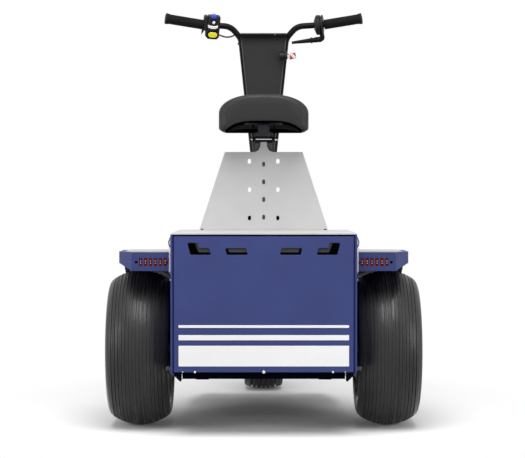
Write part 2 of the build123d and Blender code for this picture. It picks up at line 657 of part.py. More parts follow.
def chassis_frame():
    """Rails, cross members, the neck and the head tube of the steering."""
    frame = rail_right() + flipped(rail_right())
    low = RAIL_TOP - RAIL_DEPTH
    outer = RAIL_INNER + RAIL_WIDTH
    front = (NECK_START, FOOTBOARD_END - SHEET)
    middle = REAR_Y + PAN_WINDOW_FRONT
    rear = REAR_Y - RAIL_REAR
    frame += block((-outer, outer), front, (low, RAIL_TOP))
    frame += block((-outer, outer), (middle, middle + RAIL_WIDTH), (PAN_LOW - RAIL_DEPTH, PAN_LOW))
    frame += block((-REAR_BEAM_HALF, REAR_BEAM_HALF), (rear, rear + REAR_BEAM_WIDTH),
                   (PAN_LOW - REAR_BEAM_DEPTH, PAN_LOW))
    head_low = on_axis(HEAD_START + STEM_RADIUS, HEAD_RADIUS - NECK_SINK)
    head_high = on_axis(HEAD_START + HEAD_LENGTH - STEM_RADIUS, HEAD_RADIUS - NECK_SINK)
    neck = outline((front[0], low + SHEET), (front[1], low + SHEET), (front[1], NECK_BEND_HEIGHT),
                   head_low, head_high, (front[0], NECK_REAR_BEND))
    frame += prism_x(neck, -NECK_HALF, NECK_HALF)
    frame += STEERING * Pos(0, 0, HEAD_START) * Cylinder(HEAD_RADIUS, HEAD_LENGTH, align=BASE)
    bore = Cylinder(STEM_RADIUS + RUNNING_FIT, 2 * HEAD_LENGTH, align=BASE)
    return frame - STEERING * Pos(0, 0, HEAD_START - HEAD_LENGTH / 2) * bore


def axle_cheeks():
    """Two upright plates that hold the axle tube and carry the battery."""
    outer = CHEEK_HALF + CHEEK_WALL
    right = block((CHEEK_HALF, outer), (REAR_Y - CHEEK_REAR, CHEEK_FRONT), (PAN_HIGH, CHEEK_TOP))
    right -= rod_x(AXLE_TUBE_RADIUS + FIT, CHEEK_HALF - 1, outer + 1, REAR_Y, REAR_TYRE_RADIUS)
    return right + flipped(right)


def footboard_face(inset):
    """Plan outline of the footboard, drawn in by inset."""
    half = FOOTBOARD_HALF - inset
    tip = FOOTBOARD_FRONT_HALF - inset
    start = FOOTBOARD_START + inset
    end = FOOTBOARD_END - inset
    turn = FOOTBOARD_END - FOOTBOARD_TAPER
    return outline((-half, start), (half, start), (half, turn), (tip, end), (-tip, end), (-half, turn))


def footboard():
    """Folded tread plate with a lip down all round and a notch for the neck and rails."""
    low = FOOTBOARD_TOP - FOOTBOARD_LIP
    tray = prism_z(footboard_face(0), low, FOOTBOARD_TOP)
    tray -= prism_z(footboard_face(SHEET), low - 1, RAIL_TOP)
    reach = NECK_HALF + SEAT_GAP
    tray -= block((-reach, reach), (NECK_START - SEAT_GAP, FOOTBOARD_END + 1), (low - 1, FOOTBOARD_TOP + 1))
    notch = block((RAIL_INNER - SEAT_GAP, RAIL_INNER + RAIL_WIDTH + SEAT_GAP),
                  (FOOTBOARD_START - 1, FOOTBOARD_START + SHEET + 1), (low - 1, RAIL_TOP))
    return tray - notch - flipped(notch)


def footboard_mat():
    """Rubber mat on the footboard."""
    top = FOOTBOARD_TOP + MAT_WALL
    mat = prism_z(footboard_face(MAT_MARGIN), FOOTBOARD_TOP, top)
    reach = NECK_HALF + MAT_NECK_GAP
    return mat - block((-reach, reach), (NECK_START - MAT_NECK_GAP, FOOTBOARD_END),
                       (FOOTBOARD_TOP - 1, top + 1))


# Fenders and lamps

def fender_form(inset, front):
    """Fender as a closed form, drawn in by inset on its top, rear and sides."""
    rear = FENDER_BACK + inset
    step = inset * tan(radians(22.5))
    chamfer_y = FENDER_BACK + FENDER_CHAMFER_Y
    inner = FENDER_INNER + inset
    outer = FENDER_OUTER - inset
    plan = outline((inner, rear), (FENDER_CHAMFER_X - step, rear), (outer, chamfer_y + step),
                   (outer, front), (inner, front))
    bend = REAR_Y + FENDER_FLAT_END
    fall = FENDER_FALL / (FENDER_FRONT - FENDER_FLAT_END)
    top = FENDER_TOP - inset
    front_top = top - fall * (front - bend)
    low = 0 if inset == 0 else -2 * SHEET
    side_bottom = FENDER_TOP - FENDER_SIDE_DEPTH + low
    side = outline((rear, FENDER_TOP - FENDER_REAR_DEPTH + low), (chamfer_y, side_bottom),
                   (bend - FENDER_BEND_STEP, side_bottom),
                   (front, front_top - FENDER_FRONT_DEPTH + low), (front, front_top),
                   (bend, top), (rear, top))
    return prism_z(plan, 0, FENDER_TOP + 1) & prism_x(side, FENDER_INNER - 1, FENDER_OUTER + 1)


def lamp_centres():
    """X of each lamp slot on the right fender."""
    return [FENDER_INNER + LAMP_START + i * LAMP_PITCH for i in range(LAMP_COUNT)]


def fender_right():
    """Right wing: folded shell, open below, with six lamp slots and a round hole at the rear."""
    shell = fender_form(0, REAR_Y + FENDER_FRONT) - fender_form(SHEET, REAR_Y + FENDER_FRONT + 1)
    through = (FENDER_BACK - 1, FENDER_BACK + SHEET + 1)
    for x in lamp_centres():
        shell -= block((x - LAMP_WIDTH / 2, x + LAMP_WIDTH / 2), through, (LAMP_LOW, LAMP_HIGH))
    hole = Pos(FENDER_HOLE_X, (LAMP_LOW + LAMP_HIGH) / 2) * Circle(FENDER_HOLE_RADIUS)
    return shell - prism_y(hole, *through)


def upstand_right():
    """Light trim of the right fender: an upright strip between it and the box, a plate on its top
    and a gusset that carries it from the box."""
    start = FENDER_BACK + TOP_PLATE_MARGIN
    inner = FENDER_INNER - SEAT_GAP
    strip = block((BODY_HALF + UPSTAND_GAP, inner), (start, start + SHEET), (UPSTAND_LOW, UPSTAND_HIGH))
    wall = block((inner - SHEET, inner), (start, start + UPSTAND_LENGTH), (UPSTAND_LOW, UPSTAND_HIGH))
    step = (FENDER_CHAMFER - TOP_PLATE_EDGE) * FENDER_CHAMFER_Y / FENDER_CHAMFER
    end = start + TOP_PLATE_LENGTH
    top = FENDER_TOP + SEAT_GAP
    plan = outline((inner - SHEET, start), (FENDER_CHAMFER_X, start), (TOP_PLATE_OUTER, start + step),
                   (TOP_PLATE_OUTER, end), (inner - SHEET, end))
    leaf = prism_z(plan, top, top + TOP_PLATE_WALL)
    gusset = prism_y(outline((BODY_HALF + SEAT_GAP, UPSTAND_LOW), (BODY_HALF + GUSSET_WIDTH, UPSTAND_LOW),
                             (BODY_HALF + SEAT_GAP, UPSTAND_LOW - GUSSET_HEIGHT)), start, start + SHEET)
    return strip + wall + leaf + gusset


def lamp_lens_right():
    """Red lamp insert: a plate behind the face with one pad in each slot."""
    centres = lamp_centres()
    reach = LAMP_WIDTH / 2 - SEAT_GAP
    front = FENDER_BACK + SHEET + LAMP_BACK
    start = max(centres[0] - reach - 1, FENDER_INNER + SHEET + SEAT_GAP)
    lens = block((start, centres[-1] + reach + LAMP_MARGIN), (FENDER_BACK + SHEET + FIT, front),
                 (LAMP_LOW - LAMP_MARGIN, LAMP_HIGH + LAMP_MARGIN))
    for x in centres:
        lens += block((max(x - reach, start), x + reach), (FENDER_BACK + LAMP_SINK, front),
                      (LAMP_LOW + SEAT_GAP, LAMP_HIGH - SEAT_GAP))
    return lens


# Seat tower and seat

def tower_strip():
    """Slanted side of the tower in (x, z), one sheet thick."""
    rise = TOWER_TOP - LID_TOP
    wide = SHEET * sqrt(1 + (TOWER_NARROWING / rise) ** 2)
    return outline((TOWER_FOOT_HALF, LID_TOP), (TOWER_TOP_HALF, TOWER_TOP),
                   (TOWER_TOP_HALF - wide, TOWER_TOP), (TOWER_FOOT_HALF - wide, LID_TOP))


def tower_plate():
    """Rear plate of the tower with its narrow neck, in (x, z)."""
    face = outline((-TOWER_FOOT_HALF, LID_TOP), (TOWER_FOOT_HALF, LID_TOP), (TOWER_TOP_HALF, TOWER_TOP),
                   (-TOWER_TOP_HALF, TOWER_TOP))
    flare = NECK_PLATE_HALF + NECK_FILLET
    rise = NECK_FILLET * (1 - sqrt(0.5))
    left = ThreePointArc((-flare, TOWER_TOP), (-NECK_PLATE_HALF - rise, TOWER_TOP + rise),
                         (-NECK_PLATE_HALF, TOWER_TOP + NECK_FILLET))
    sides = Polyline(left @ 1, (-NECK_PLATE_HALF, NECK_PLATE_TOP), (NECK_PLATE_HALF, NECK_PLATE_TOP),
                     (NECK_PLATE_HALF, TOWER_TOP + NECK_FILLET))
    right = mirror(left, about=Plane.YZ)
    low = TOWER_TOP - 1
    base = Polyline((flare, TOWER_TOP), (flare, low), (-flare, low), (-flare, TOWER_TOP))
    return face + make_face([left, sides, right, base])


def slot_row(x, count, width, low, high):
    """Row of upright slots, from low above the lid to high below the tower's top."""
    pitch = (TOWER_HEIGHT - low - high) / (count - 1)
    slot = SlotOverall(TOWER_SLOT_HEIGHT, width, rotation=90)
    spots = [Pos(x, LID_TOP + low + i * pitch) for i in range(count)]
    return [prism_y(spot * slot, TOWER_BACK - 1, TOWER_BACK + SHEET + 1) for spot in spots]


def seat_tower():
    """Folded tower: slotted rear plate, two slanted sides, top fold and two feet."""
    back = TOWER_BACK
    front = back + TOWER_DEPTH
    top_front = back + TOWER_TOP_DEPTH
    tower = prism_y(tower_plate(), back, back + SHEET)
    taper = outline((back, LID_TOP), (front, LID_TOP), (top_front, TOWER_TOP), (back, TOWER_TOP))
    side = prism_y(tower_strip(), back, front) & prism_x(taper, 0, TOWER_FOOT_HALF + 1)
    foot = block((TOWER_FOOT_HALF - FOOT_LENGTH, TOWER_FOOT_HALF - 1), (back, front),
                 (LID_TOP, LID_TOP + SHEET))
    tower += side + flipped(side) + foot + flipped(foot)
    tower += block((1 - TOWER_TOP_HALF, TOWER_TOP_HALF - 1), (back, top_front),
                   (TOWER_TOP - SHEET, TOWER_TOP))
    slots = slot_row(0, MIDDLE_SLOT_COUNT, MIDDLE_SLOT_WIDTH, MIDDLE_SLOT_LOW, MIDDLE_SLOT_HIGH)
    for x in (-OUTER_SLOT_X, OUTER_SLOT_X):
        slots += slot_row(x, OUTER_SLOT_COUNT, OUTER_SLOT_WIDTH, OUTER_SLOT_LOW, OUTER_SLOT_HIGH)
    return tower - slots


def tower_post():
    """Square post behind the middle slots."""
    y = TOWER_BACK + SHEET
    post = block((-POST_HALF, POST_HALF), (y, y + 2 * POST_HALF), (LID_TOP, TOWER_TOP - SHEET))
    inner = POST_HALF - SHEET
    return post - block((-inner, inner), (y + SHEET, y + 2 * POST_HALF - SHEET), (LID_TOP - 1, TOWER_TOP))


def seat_casting():
    """Cast pivot on the tower: two cheeks, a web on the neck and a funnel under the pan."""
    low = PIVOT_Y + BOLT_RADIUS + SEAT_GAP
    high = low + CASTING_DEPTH
    cheek = block((CHEEK_INNER, CHEEK_OUTER), (low, high), (TOWER_TOP, BOLT_Z + CHEEK_RISE))
    casting = cheek + flipped(cheek)
    casting += block((-CHEEK_INNER, CHEEK_INNER), (TOWER_BACK + SHEET, high), (TOWER_TOP, NECK_PLATE_TOP))
    top = PAN_TOP - PAN_WALL - SEAT_GAP
    funnel = outline((-FUNNEL_FOOT_HALF, NECK_PLATE_TOP - 1), (FUNNEL_FOOT_HALF, NECK_PLATE_TOP - 1),
                     (FUNNEL_FOOT_HALF, BOLT_Z + FUNNEL_FOOT_HALF), (FUNNEL_HALF, top - FUNNEL_RIM),
                     (FUNNEL_HALF, top), (-FUNNEL_HALF, top), (-FUNNEL_HALF, top - FUNNEL_RIM),
                     (-FUNNEL_FOOT_HALF, BOLT_Z + FUNNEL_FOOT_HALF))
    return casting + prism_y(funnel, low, high)


def seat_bracket():
    """Seat pan in the recess under the seat, with two clevis plates welded on."""
    top = PAN_TOP - PAN_WALL
    middle = PIVOT_Y
    low = BOLT_Z - CLEVIS_DROP
    outer = CLEVIS_HALF + CLEVIS_WALL
    face = outline((middle - CLEVIS_DEPTH / 2, top), (middle - CLEVIS_FOOT / 2, low),
                   (middle + CLEVIS_FOOT / 2, low), (middle + CLEVIS_DEPTH / 2, top))
    plate = prism_x(face, CLEVIS_HALF, outer)
    plate -= rod_x(BOLT_RADIUS + FIT, CLEVIS_HALF - 1, outer + 1, middle, BOLT_Z)
    pan = block((-PAN_HALF, PAN_HALF), (middle - PAN_LENGTH / 2, middle + PAN_LENGTH / 2), (top, PAN_TOP))
    return pan + plate + flipped(plate)


def seat_bolt():
    """Bright bolt through the two clevis plates, with its head and nut."""
    outer = CLEVIS_HALF + CLEVIS_WALL + FIT
    bolt = rod_x(BOLT_RADIUS, -outer - 1.5 * BOLT_NUT_DEPTH, outer + BOLT_HEAD_DEPTH / 2, PIVOT_Y, BOLT_Z)
    head = prism_x(RegularPolygon(BOLT_RADIUS * BOLT_HEAD_RATIO, 6), outer, outer + BOLT_HEAD_DEPTH)
    nut = prism_x(RegularPolygon(BOLT_RADIUS * BOLT_NUT_RATIO, 6), -outer - BOLT_NUT_DEPTH, -outer)
    return bolt + Pos(0, PIVOT_Y, BOLT_Z) * (head + nut)


def seat_section():
    """Seat in (x, z): nearly flat crown, elliptic shoulders, upright sides and round lower corners."""
    crown_z = SEAT_TOP - SEAT_CROWN_DROP
    crown = ThreePointArc((-SEAT_CROWN_HALF, crown_z), (0, SEAT_TOP), (SEAT_CROWN_HALF, crown_z))
    rise = crown_z - SEAT_SHOULDER
    angles = [radians(90 * i / SEAT_BEND_STEPS) for i in range(SEAT_BEND_STEPS + 1)]
    bend = [(SEAT_CROWN_HALF + (SEAT_HALF - SEAT_CROWN_HALF) * sin(a),
             SEAT_SHOULDER + rise * cos(a)) for a in angles]
    shoulder = Spline(bend, tangents=[(1, 0), (0, -1)])
    side = Line((SEAT_HALF, SEAT_SHOULDER), (SEAT_HALF, SEAT_BOTTOM + SEAT_LOWER_ROUNDING))
    corner = Line(side @ 1, (SEAT_HALF - SEAT_LOWER_ROUNDING, SEAT_BOTTOM))
    right = [shoulder, side, corner]
    left = [mirror(edge, about=Plane.YZ) for edge in right]
    reach = SEAT_HALF - SEAT_LOWER_ROUNDING
    floor = Line((-reach, SEAT_BOTTOM), (reach, SEAT_BOTTOM))
    return make_face([crown, floor] + right + left)


def seat_pad():
    """Moulded seat: crowned block with rounded ends and an arched recess below, closed at the front."""
    rear = SEAT_REAR
    front = rear + SEAT_LENGTH
    middle = (rear + front) / 2
    form = prism_y(seat_section(), rear - 1, front + 1)
    plan = RectangleRounded(2 * SEAT_HALF + 2, SEAT_LENGTH, SEAT_CORNER_ROUNDING)
    form = form & prism_z(Pos(0, middle) * plan, SEAT_BOTTOM - 1, SEAT_TOP + 1)
    low = SEAT_BOTTOM - 2 * SEAT_END_ROUNDING
    long_view = RectangleRounded(SEAT_LENGTH + 2, SEAT_TOP - low, SEAT_END_ROUNDING)
    form = form & prism_x(Pos(middle, (low + SEAT_TOP) / 2) * long_view, -SEAT_HALF - 1, SEAT_HALF + 1)
    high = SEAT_BOTTOM + SEAT_RECESS_RISE
    middle_x = (SEAT_RECESS_HALF + SEAT_RECESS_FLAT) / 2
    arch = ThreePointArc((-SEAT_RECESS_HALF, SEAT_BOTTOM - 1),
                         (-middle_x, SEAT_BOTTOM + SEAT_RECESS_RISE * SEAT_RECESS_SHARE),
                         (-SEAT_RECESS_FLAT, high))
    flat = Line(arch @ 1, (SEAT_RECESS_FLAT, high))
    base = Line((-SEAT_RECESS_HALF, SEAT_BOTTOM - 1), (SEAT_RECESS_HALF, SEAT_BOTTOM - 1))
    recess = make_face([arch, flat, mirror(arch, about=Plane.YZ), base])
    return form - prism_y(recess, rear - 1, front - SEAT_FRONT_WALL)


# Steering, in the frame of the leaning axis: X right, Y forward and Z up along the axis

def bar_points():
    """Middle line of the right column tube and handlebar."""
    return [(COLUMN_FOOT_HALF, 0, COLUMN_START), (COLUMN_TOP_HALF, 0, COLUMN_BEND),
            (BAR_BEND_HALF, 0, BAR_BEND), (BAR_KNEE_HALF, -BAR_KNEE_BACK, BAR_KNEE),
            (BAR_END_HALF, -BAR_END_BACK, BAR_END)]


def column_tubes():
    """Two bent tubes that run up the column and out as the handlebar, on a foot that clamps the stem."""
    path = FilletPolyline(*bar_points(), radius=[BAR_BEND_RADIUS, BAR_BEND_RADIUS, BAR_KNEE_RADIUS])
    right = sweep(Plane(origin=path @ 0, z_dir=path % 0) * Circle(BAR_RADIUS), path=path)
    half = COLUMN_FOOT_HALF + BAR_RADIUS + FOOT_PLATE_MARGIN
    depth = STEM_RADIUS + FOOT_PLATE_DEPTH
    foot = block((-half, half), (-depth, depth), (STEM_END, STEM_END + FOOT_PLATE_LENGTH))
    return STEERING * (right + flipped(right) + foot)


def tube_x(along):
    """Distance of the column tube's middle line from the axis."""
    slope = (COLUMN_TOP_HALF - COLUMN_FOOT_HALF) / (COLUMN_BEND - COLUMN_START)
    return COLUMN_FOOT_HALF + slope * (along - COLUMN_START)


def column_panel():
    """Dark panel on the rear side of the column tubes."""
    low = PANEL_START
    high = CONSOLE_LOW - SEAT_GAP
    reach = [tube_x(along) + PANEL_OVERLAP for along in (low, high)]
    face = outline((-reach[0], low), (reach[0], low), (reach[1], high), (-reach[1], high))
    return STEERING * prism_y(face, -PANEL_BACK - PANEL_WALL, -PANEL_BACK)


def column_lips():
    """Narrow bent lips along the two edges of the panel."""
    low = PANEL_START + LIP_SHORT
    high = CONSOLE_LOW - LIP_SHORT
    outer = [tube_x(along) + PANEL_OVERLAP - LIP_INSET for along in (low, high)]
    face = outline((outer[0], low), (outer[1], high), (outer[1] - LIP_WIDTH, high),
                   (outer[0] - LIP_WIDTH, low))
    back = -PANEL_BACK - PANEL_WALL
    right = prism_y(face, back - LIP_WALL, back)
    return STEERING * (right + flipped(right))


def top_console():
    """Folded bar across the top of the column, on the rear side of the tubes."""
    bar = block((-CONSOLE_HALF, CONSOLE_HALF), (-PANEL_BACK - CONSOLE_DEPTH, -PANEL_BACK),
                (CONSOLE_LOW, CONSOLE_LOW + CONSOLE_HEIGHT))
    return STEERING * bar


def grip_right():
    """Rubber grip from the bar's knee over its end, thicker at the outer end."""
    knee, end = bar_points()[3:]
    length = (Vector(*end) - Vector(*knee)).length
    tip = length + GRIP_END_WALL
    bead = GRIP_RADIUS + GRIP_BEAD
    profile = outline((0, -GRIP_START), (GRIP_RADIUS, -GRIP_START), (GRIP_RADIUS, tip - 2 * GRIP_BEAD_WALL),
                      (bead, tip - GRIP_BEAD_WALL), (bead, tip - GRIP_BEAD), (GRIP_RADIUS, tip), (0, tip))
    solid = revolve(Plane.XZ * profile, axis=Axis.Z)
    solid -= Pos(0, 0, -GRIP_START) * Cylinder(BAR_RADIUS + FIT, GRIP_START + length + SEAT_GAP, align=BASE)
    solid -= Pos(0, 0, -GRIP_START) * Cylinder(
        BAR_RADIUS + GRIP_RELIEF_GAP, GRIP_START + GRIP_RELIEF, align=BASE)
    return STEERING * on_bar(knee, end).location * solid


def fork():
    """Fork: two legs, crown, lower race and the stem that turns in the head tube."""
    leg_face = outline((-FORK_LEG_HALF, CROWN_START), (-FORK_FOOT_RADIUS, 0), (FORK_FOOT_RADIUS, 0),
                       (FORK_LEG_HALF, CROWN_START))
    foot = prism_x(Circle(FORK_FOOT_RADIUS), FORK_INNER, FORK_OUTER)
    leg = prism_x(leg_face, FORK_INNER, FORK_OUTER) + foot
    leg -= rod_x(FRONT_AXLE_RADIUS + FIT, FORK_INNER - 1, FORK_OUTER + 1, 0, 0)
    body = leg + flipped(leg)
    body += block((-FORK_OUTER, FORK_OUTER), (-FORK_LEG_HALF, FORK_LEG_HALF),
                  (CROWN_START, CROWN_START + CROWN_DEPTH))
    top = CROWN_START + CROWN_DEPTH
    body += Pos(0, 0, top) * Cylinder(RACE_RADIUS, HEAD_START - SEAT_GAP - top, align=BASE)
    body += Pos(0, 0, top) * Cylinder(STEM_RADIUS, STEM_END - top, align=BASE)
    collar_start = HEAD_START + HEAD_LENGTH + SEAT_GAP
    body += Pos(0, 0, collar_start) * Cylinder(COLLAR_HALF, STEM_END - collar_start, align=BASE)
    return STEERING * body


def front_mudguard():
    """Curved guard over the front wheel, hung from the crown."""
    inner = FRONT_TYRE_RADIUS + GUARD_GAP
    outer = inner + GUARD_WALL
    ring = prism_x(Circle(outer) - Circle(inner), -GUARD_HALF, GUARD_HALF)
    reach = 2 * outer
    rays = [(reach * cos(radians(a)), reach * sin(radians(a))) for a in (GUARD_FRONT, 90, GUARD_REAR)]
    wedge = prism_x(outline((0, 0), *rays), -GUARD_HALF - 1, GUARD_HALF + 1)
    guard = Pos(0, FRONT_Y, FRONT_TYRE_RADIUS) * (ring & wedge)
    stay = STEERING * block((-STAY_HALF, STAY_HALF), (-STAY_DEPTH, STAY_DEPTH), (outer - 1, CROWN_START))
    return guard + stay


def bar_place(distance):
    """Frame on the right bar where its middle line is this far from the machine's middle."""
    bend, knee = bar_points()[2:4]
    share = (distance - bend[0]) / (knee[0] - bend[0])
    spot = tuple(a + share * (b - a) for a, b in zip(bend, knee))
    return on_bar(spot, knee).location


def switch_cluster():
    """Switch housing clamped on the left bar: a button on top, a pod with cut corners below and a
    pointed trigger on the outer side."""
    body = block((-SWITCH_DEPTH / 2, SWITCH_DEPTH / 2), (-SWITCH_BELOW, SWITCH_ABOVE), (0, SWITCH_WIDTH))
    body = fillet(body.edges().filter_by(Axis.X), SWITCH_ROUNDING)
    low = POD_INSET
    high = POD_INSET + POD_WIDTH
    pod = outline((-SWITCH_BELOW + 1, low), (-SWITCH_BELOW + 1, high), (POD_CHAMFER - POD_DROP, high),
                  (-POD_DROP, high - POD_CHAMFER), (-POD_DROP, low + POD_CHAMFER),
                  (POD_CHAMFER - POD_DROP, low))
    body += prism_x(pod, -POD_DEPTH / 2, POD_DEPTH / 2)
    middle = (SWITCH_WIDTH - BUTTON_SIZE) / 2
    body += block((-BUTTON_SIZE / 2, BUTTON_SIZE / 2), (SWITCH_ABOVE - 1, SWITCH_ABOVE + BUTTON_HEIGHT),
                  (middle, middle + BUTTON_SIZE))
    trigger = outline((-TRIGGER_TOP, SWITCH_WIDTH - 1), (-SWITCH_BELOW, SWITCH_WIDTH + TRIGGER_REACH),
                      (-TRIGGER_LOW, high - 1))
    body += prism_x(trigger, -TRIGGER_DEPTH / 2, TRIGGER_DEPTH / 2)
    body -= Pos(0, 0, -1) * Cylinder(BAR_RADIUS + FIT, SWITCH_WIDTH + 2, align=BASE)
    return STEERING * flipped(bar_place(SWITCH_INNER) * body)


def lever_housing():
    """Round flanged housing of the hand lever, on the right bar."""
    w = LEVER_HUB_WIDTH
    f = LEVER_FLANGE_WALL
    bore = BAR_RADIUS + FIT
    outer = LEVER_HUB_RADIUS - LEVER_HUB_STEP
    profile = outline((bore, 0), (outer, 0), (LEVER_HUB_RADIUS, f / 2), (LEVER_HUB_RADIUS, w - 2 * f),
                      (LEVER_FLANGE_RADIUS, w - 1.5 * f), (LEVER_FLANGE_RADIUS, w - f / 2),
                      (outer, w - f / 4), (outer, w), (bore, w))
    return STEERING * bar_place(LEVER_HUB_INNER) * revolve(Plane.XZ * profile, axis=Axis.Z)


def hand_lever():
    """Lever: an arm down from the housing and a tapered bar with two collars that points inward."""
    start = LEVER_HUB_INNER + LEVER_HUB_WIDTH / 2
    x = start + LEVER_ARM_FORWARD
    low = BAR_KNEE - LEVER_ELBOW
    arm = block((x - LEVER_ARM_HALF, x + LEVER_ARM_HALF),
                (-LEVER_BACK - LEVER_ARM_HALF, -LEVER_BACK + LEVER_ARM_HALF),
                (low - LEVER_ARM_HALF, BAR_KNEE - LEVER_FLANGE_RADIUS / 2))
    arm -= bar_place(start) * Pos(0, 0, -LEVER_HUB_WIDTH) * Cylinder(
        LEVER_FLANGE_RADIUS + FIT, 3 * LEVER_HUB_WIDTH, align=BASE)
    length = x - LEVER_TIP_HALF
    bar = Cone(LEVER_RADIUS, LEVER_TIP_RADIUS, length, align=BASE)
    for along in LEVER_COLLARS:
        bar += Pos(0, 0, along) * Cylinder(COLLAR_RADIUS, COLLAR_WALL, align=BASE)
    place = Pos(x, -LEVER_BACK, low) * Rot(0, -90 - LEVER_SLOPE, 0)
    return STEERING * (arm + place * bar)


def key_switch():
    """Key lock at the right edge of the panel, with the key in it."""
    body = rod_x(KEY_HOUSING_RADIUS, KEY_HOUSING_INNER, KEY_HOUSING_OUTER, -KEY_BACK, KEY_ALONG)
    key = rod_x(KEY_RADIUS, KEY_HOUSING_OUTER, KEY_HOUSING_OUTER + KEY_REACH, -KEY_BACK, KEY_ALONG)
    return STEERING * (body + key)


def key_tag():
    """Flat tag on the key."""
    half = TAG_SIZE / 2
    tag = block((-half, half), (-TAG_WALL / 2, TAG_WALL / 2), (-half, half))
    tag = Rot(0, TAG_TILT, 0) * fillet(tag.edges().filter_by(Axis.Y), SHEET)
    reach = half * (cos(radians(TAG_TILT)) + sin(radians(TAG_TILT)))
    x = KEY_HOUSING_OUTER + KEY_REACH + reach
    return STEERING * Pos(x, -KEY_BACK, KEY_ALONG) * tag


def switch_cable():
    """Thin lead from the switch housing to the left column tube, drawn from the bar's bend."""
    points = [(-37.6, -11, -26), (-27, -12, -30.5), (-17, -12.5, -33), (-7, -12, -33.5),
              (3, -10, -32), (11.5, -6, -29)]
    path = FilletPolyline(*points, radius=cable_radii(points))
    cable = sweep(Plane(origin=path @ 0, z_dir=path % 0) * Circle(CABLE_RADIUS), path=path)
    print("cable length", round(path.length, 1))
    return STEERING * Pos(-BAR_BEND_HALF, 0, BAR_BEND) * cable


def cable_radii(points):
    """Largest arc that each corner's two runs allow."""
    radii = []
    for a, b, c in zip(points, points[1:], points[2:]):
        first = Vector(*b) - Vector(*a)
        second = Vector(*c) - Vector(*b)
        turn = radians(first.get_angle(second))
        radii.append(0.45 * min(first.length, second.length) / tan(turn / 2))
    return radii


PIECES = {
    "rear_tyre_right": rear_tyre_right,
    "rear_tyre_left": lambda: flipped(rear_tyre_right()),
    "rear_rim_right": rear_rim_right,
    "rear_rim_left": lambda: flipped(rear_rim_right()),
    "front_tyre": front_tyre,
    "front_rim": front_rim,
    "front_axle": front_axle,
    "body_side_right": side_panel_right,
    "body_side_left": lambda: flipped(side_panel_right()),
    "rear_panel": rear_panel,
    "front_panel": front_panel,
    "top_lid": top_lid,
    "bottom_pan": bottom_pan,
    "battery_block": battery_block,
    "rear_transaxle": rear_transaxle,
    "corner_brackets": corner_brackets,
    "chassis_frame": chassis_frame,
    "footboard": footboard,
    "footboard_mat": footboard_mat,
    "fender_right": fender_right,
    "fender_left": lambda: flipped(fender_right()),
    "upstand_right": upstand_right,
    "upstand_left": lambda: flipped(upstand_right()),
    "lamp_lens_right": lamp_lens_right,
    "lamp_lens_left": lambda: flipped(lamp_lens_right()),
    "seat_tower": seat_tower,
    "tower_post": tower_post,
    "seat_casting": seat_casting,
    "seat_bracket": seat_bracket,
    "seat_bolt": seat_bolt,
    "seat_pad": seat_pad,
    "column_tubes": column_tubes,
    "column_panel": column_panel,
    "column_lips": column_lips,
    "top_console": top_console,
    "grip_right": grip_right,
    "grip_left": lambda: flipped(grip_right()),
    "fork": fork,
    "front_mudguard": front_mudguard,
    "switch_cluster": switch_cluster,
    "lever_housing": lever_housing,
    "hand_lever": hand_lever,
    "key_switch": key_switch,
    "key_tag": key_tag,
    "switch_cable": switch_cable,
}

os.makedirs("parts", exist_ok=True)
for name, make in PIECES.items():
    export_step(make(), f"parts/{name}.step")
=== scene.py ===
from math import cos, pi, radians, sin, sqrt

import bmesh
import bpy
import numpy as np
from mathutils import Matrix, Vector

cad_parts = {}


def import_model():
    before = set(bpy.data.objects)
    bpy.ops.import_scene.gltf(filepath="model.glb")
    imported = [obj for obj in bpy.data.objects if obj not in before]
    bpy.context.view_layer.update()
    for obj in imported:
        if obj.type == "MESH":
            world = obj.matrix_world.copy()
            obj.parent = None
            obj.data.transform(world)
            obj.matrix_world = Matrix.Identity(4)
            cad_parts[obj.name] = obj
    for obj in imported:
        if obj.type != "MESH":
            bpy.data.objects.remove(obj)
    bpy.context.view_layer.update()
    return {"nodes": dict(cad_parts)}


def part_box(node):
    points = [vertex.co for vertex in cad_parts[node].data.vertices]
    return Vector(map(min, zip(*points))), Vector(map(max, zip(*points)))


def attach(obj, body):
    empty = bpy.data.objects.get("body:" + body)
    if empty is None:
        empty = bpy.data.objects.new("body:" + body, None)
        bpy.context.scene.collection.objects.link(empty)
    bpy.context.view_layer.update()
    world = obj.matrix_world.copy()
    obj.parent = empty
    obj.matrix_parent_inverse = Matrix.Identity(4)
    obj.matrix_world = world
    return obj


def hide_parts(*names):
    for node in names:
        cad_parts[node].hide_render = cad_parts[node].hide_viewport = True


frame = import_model()
nodes = frame["nodes"]

# Electric tow tractor with three wheels. Metres, in the frame of the solids: X to the right,
# Y forward, Z up, with the origin on the floor. Every new piece is a surface worked out over a
# grid of two parameters, or a profile carried along a path.

# Places read from the solids
REAR_TYRE_LOW, REAR_TYRE_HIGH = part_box("rear_tyre_right")
REAR_CENTRE = (REAR_TYRE_LOW.x + REAR_TYRE_HIGH.x) / 2
FRONT_TYRE_LOW, FRONT_TYRE_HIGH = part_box("front_tyre")
PANEL_LOW, PANEL_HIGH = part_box("rear_panel")
SEAT_LOW, SEAT_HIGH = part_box("seat_pad")
MAT_LOW, MAT_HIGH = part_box("footboard_mat")
FENDER_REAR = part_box("fender_right")[0].y
LENS_LOW, LENS_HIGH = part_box("lamp_lens_right")
LENS_CENTRE = (LENS_LOW.z + LENS_HIGH.z) / 2
TOWER_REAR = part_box("seat_tower")[0].y

# Steering axis: it stands on the front wheel's centre and leans back
RAKE = radians(16)
FRONT_WHEEL = (FRONT_TYRE_LOW + FRONT_TYRE_HIGH) / 2
STEERING = Matrix.Translation(FRONT_WHEEL) @ Matrix.Rotation(RAKE, 4, "X")

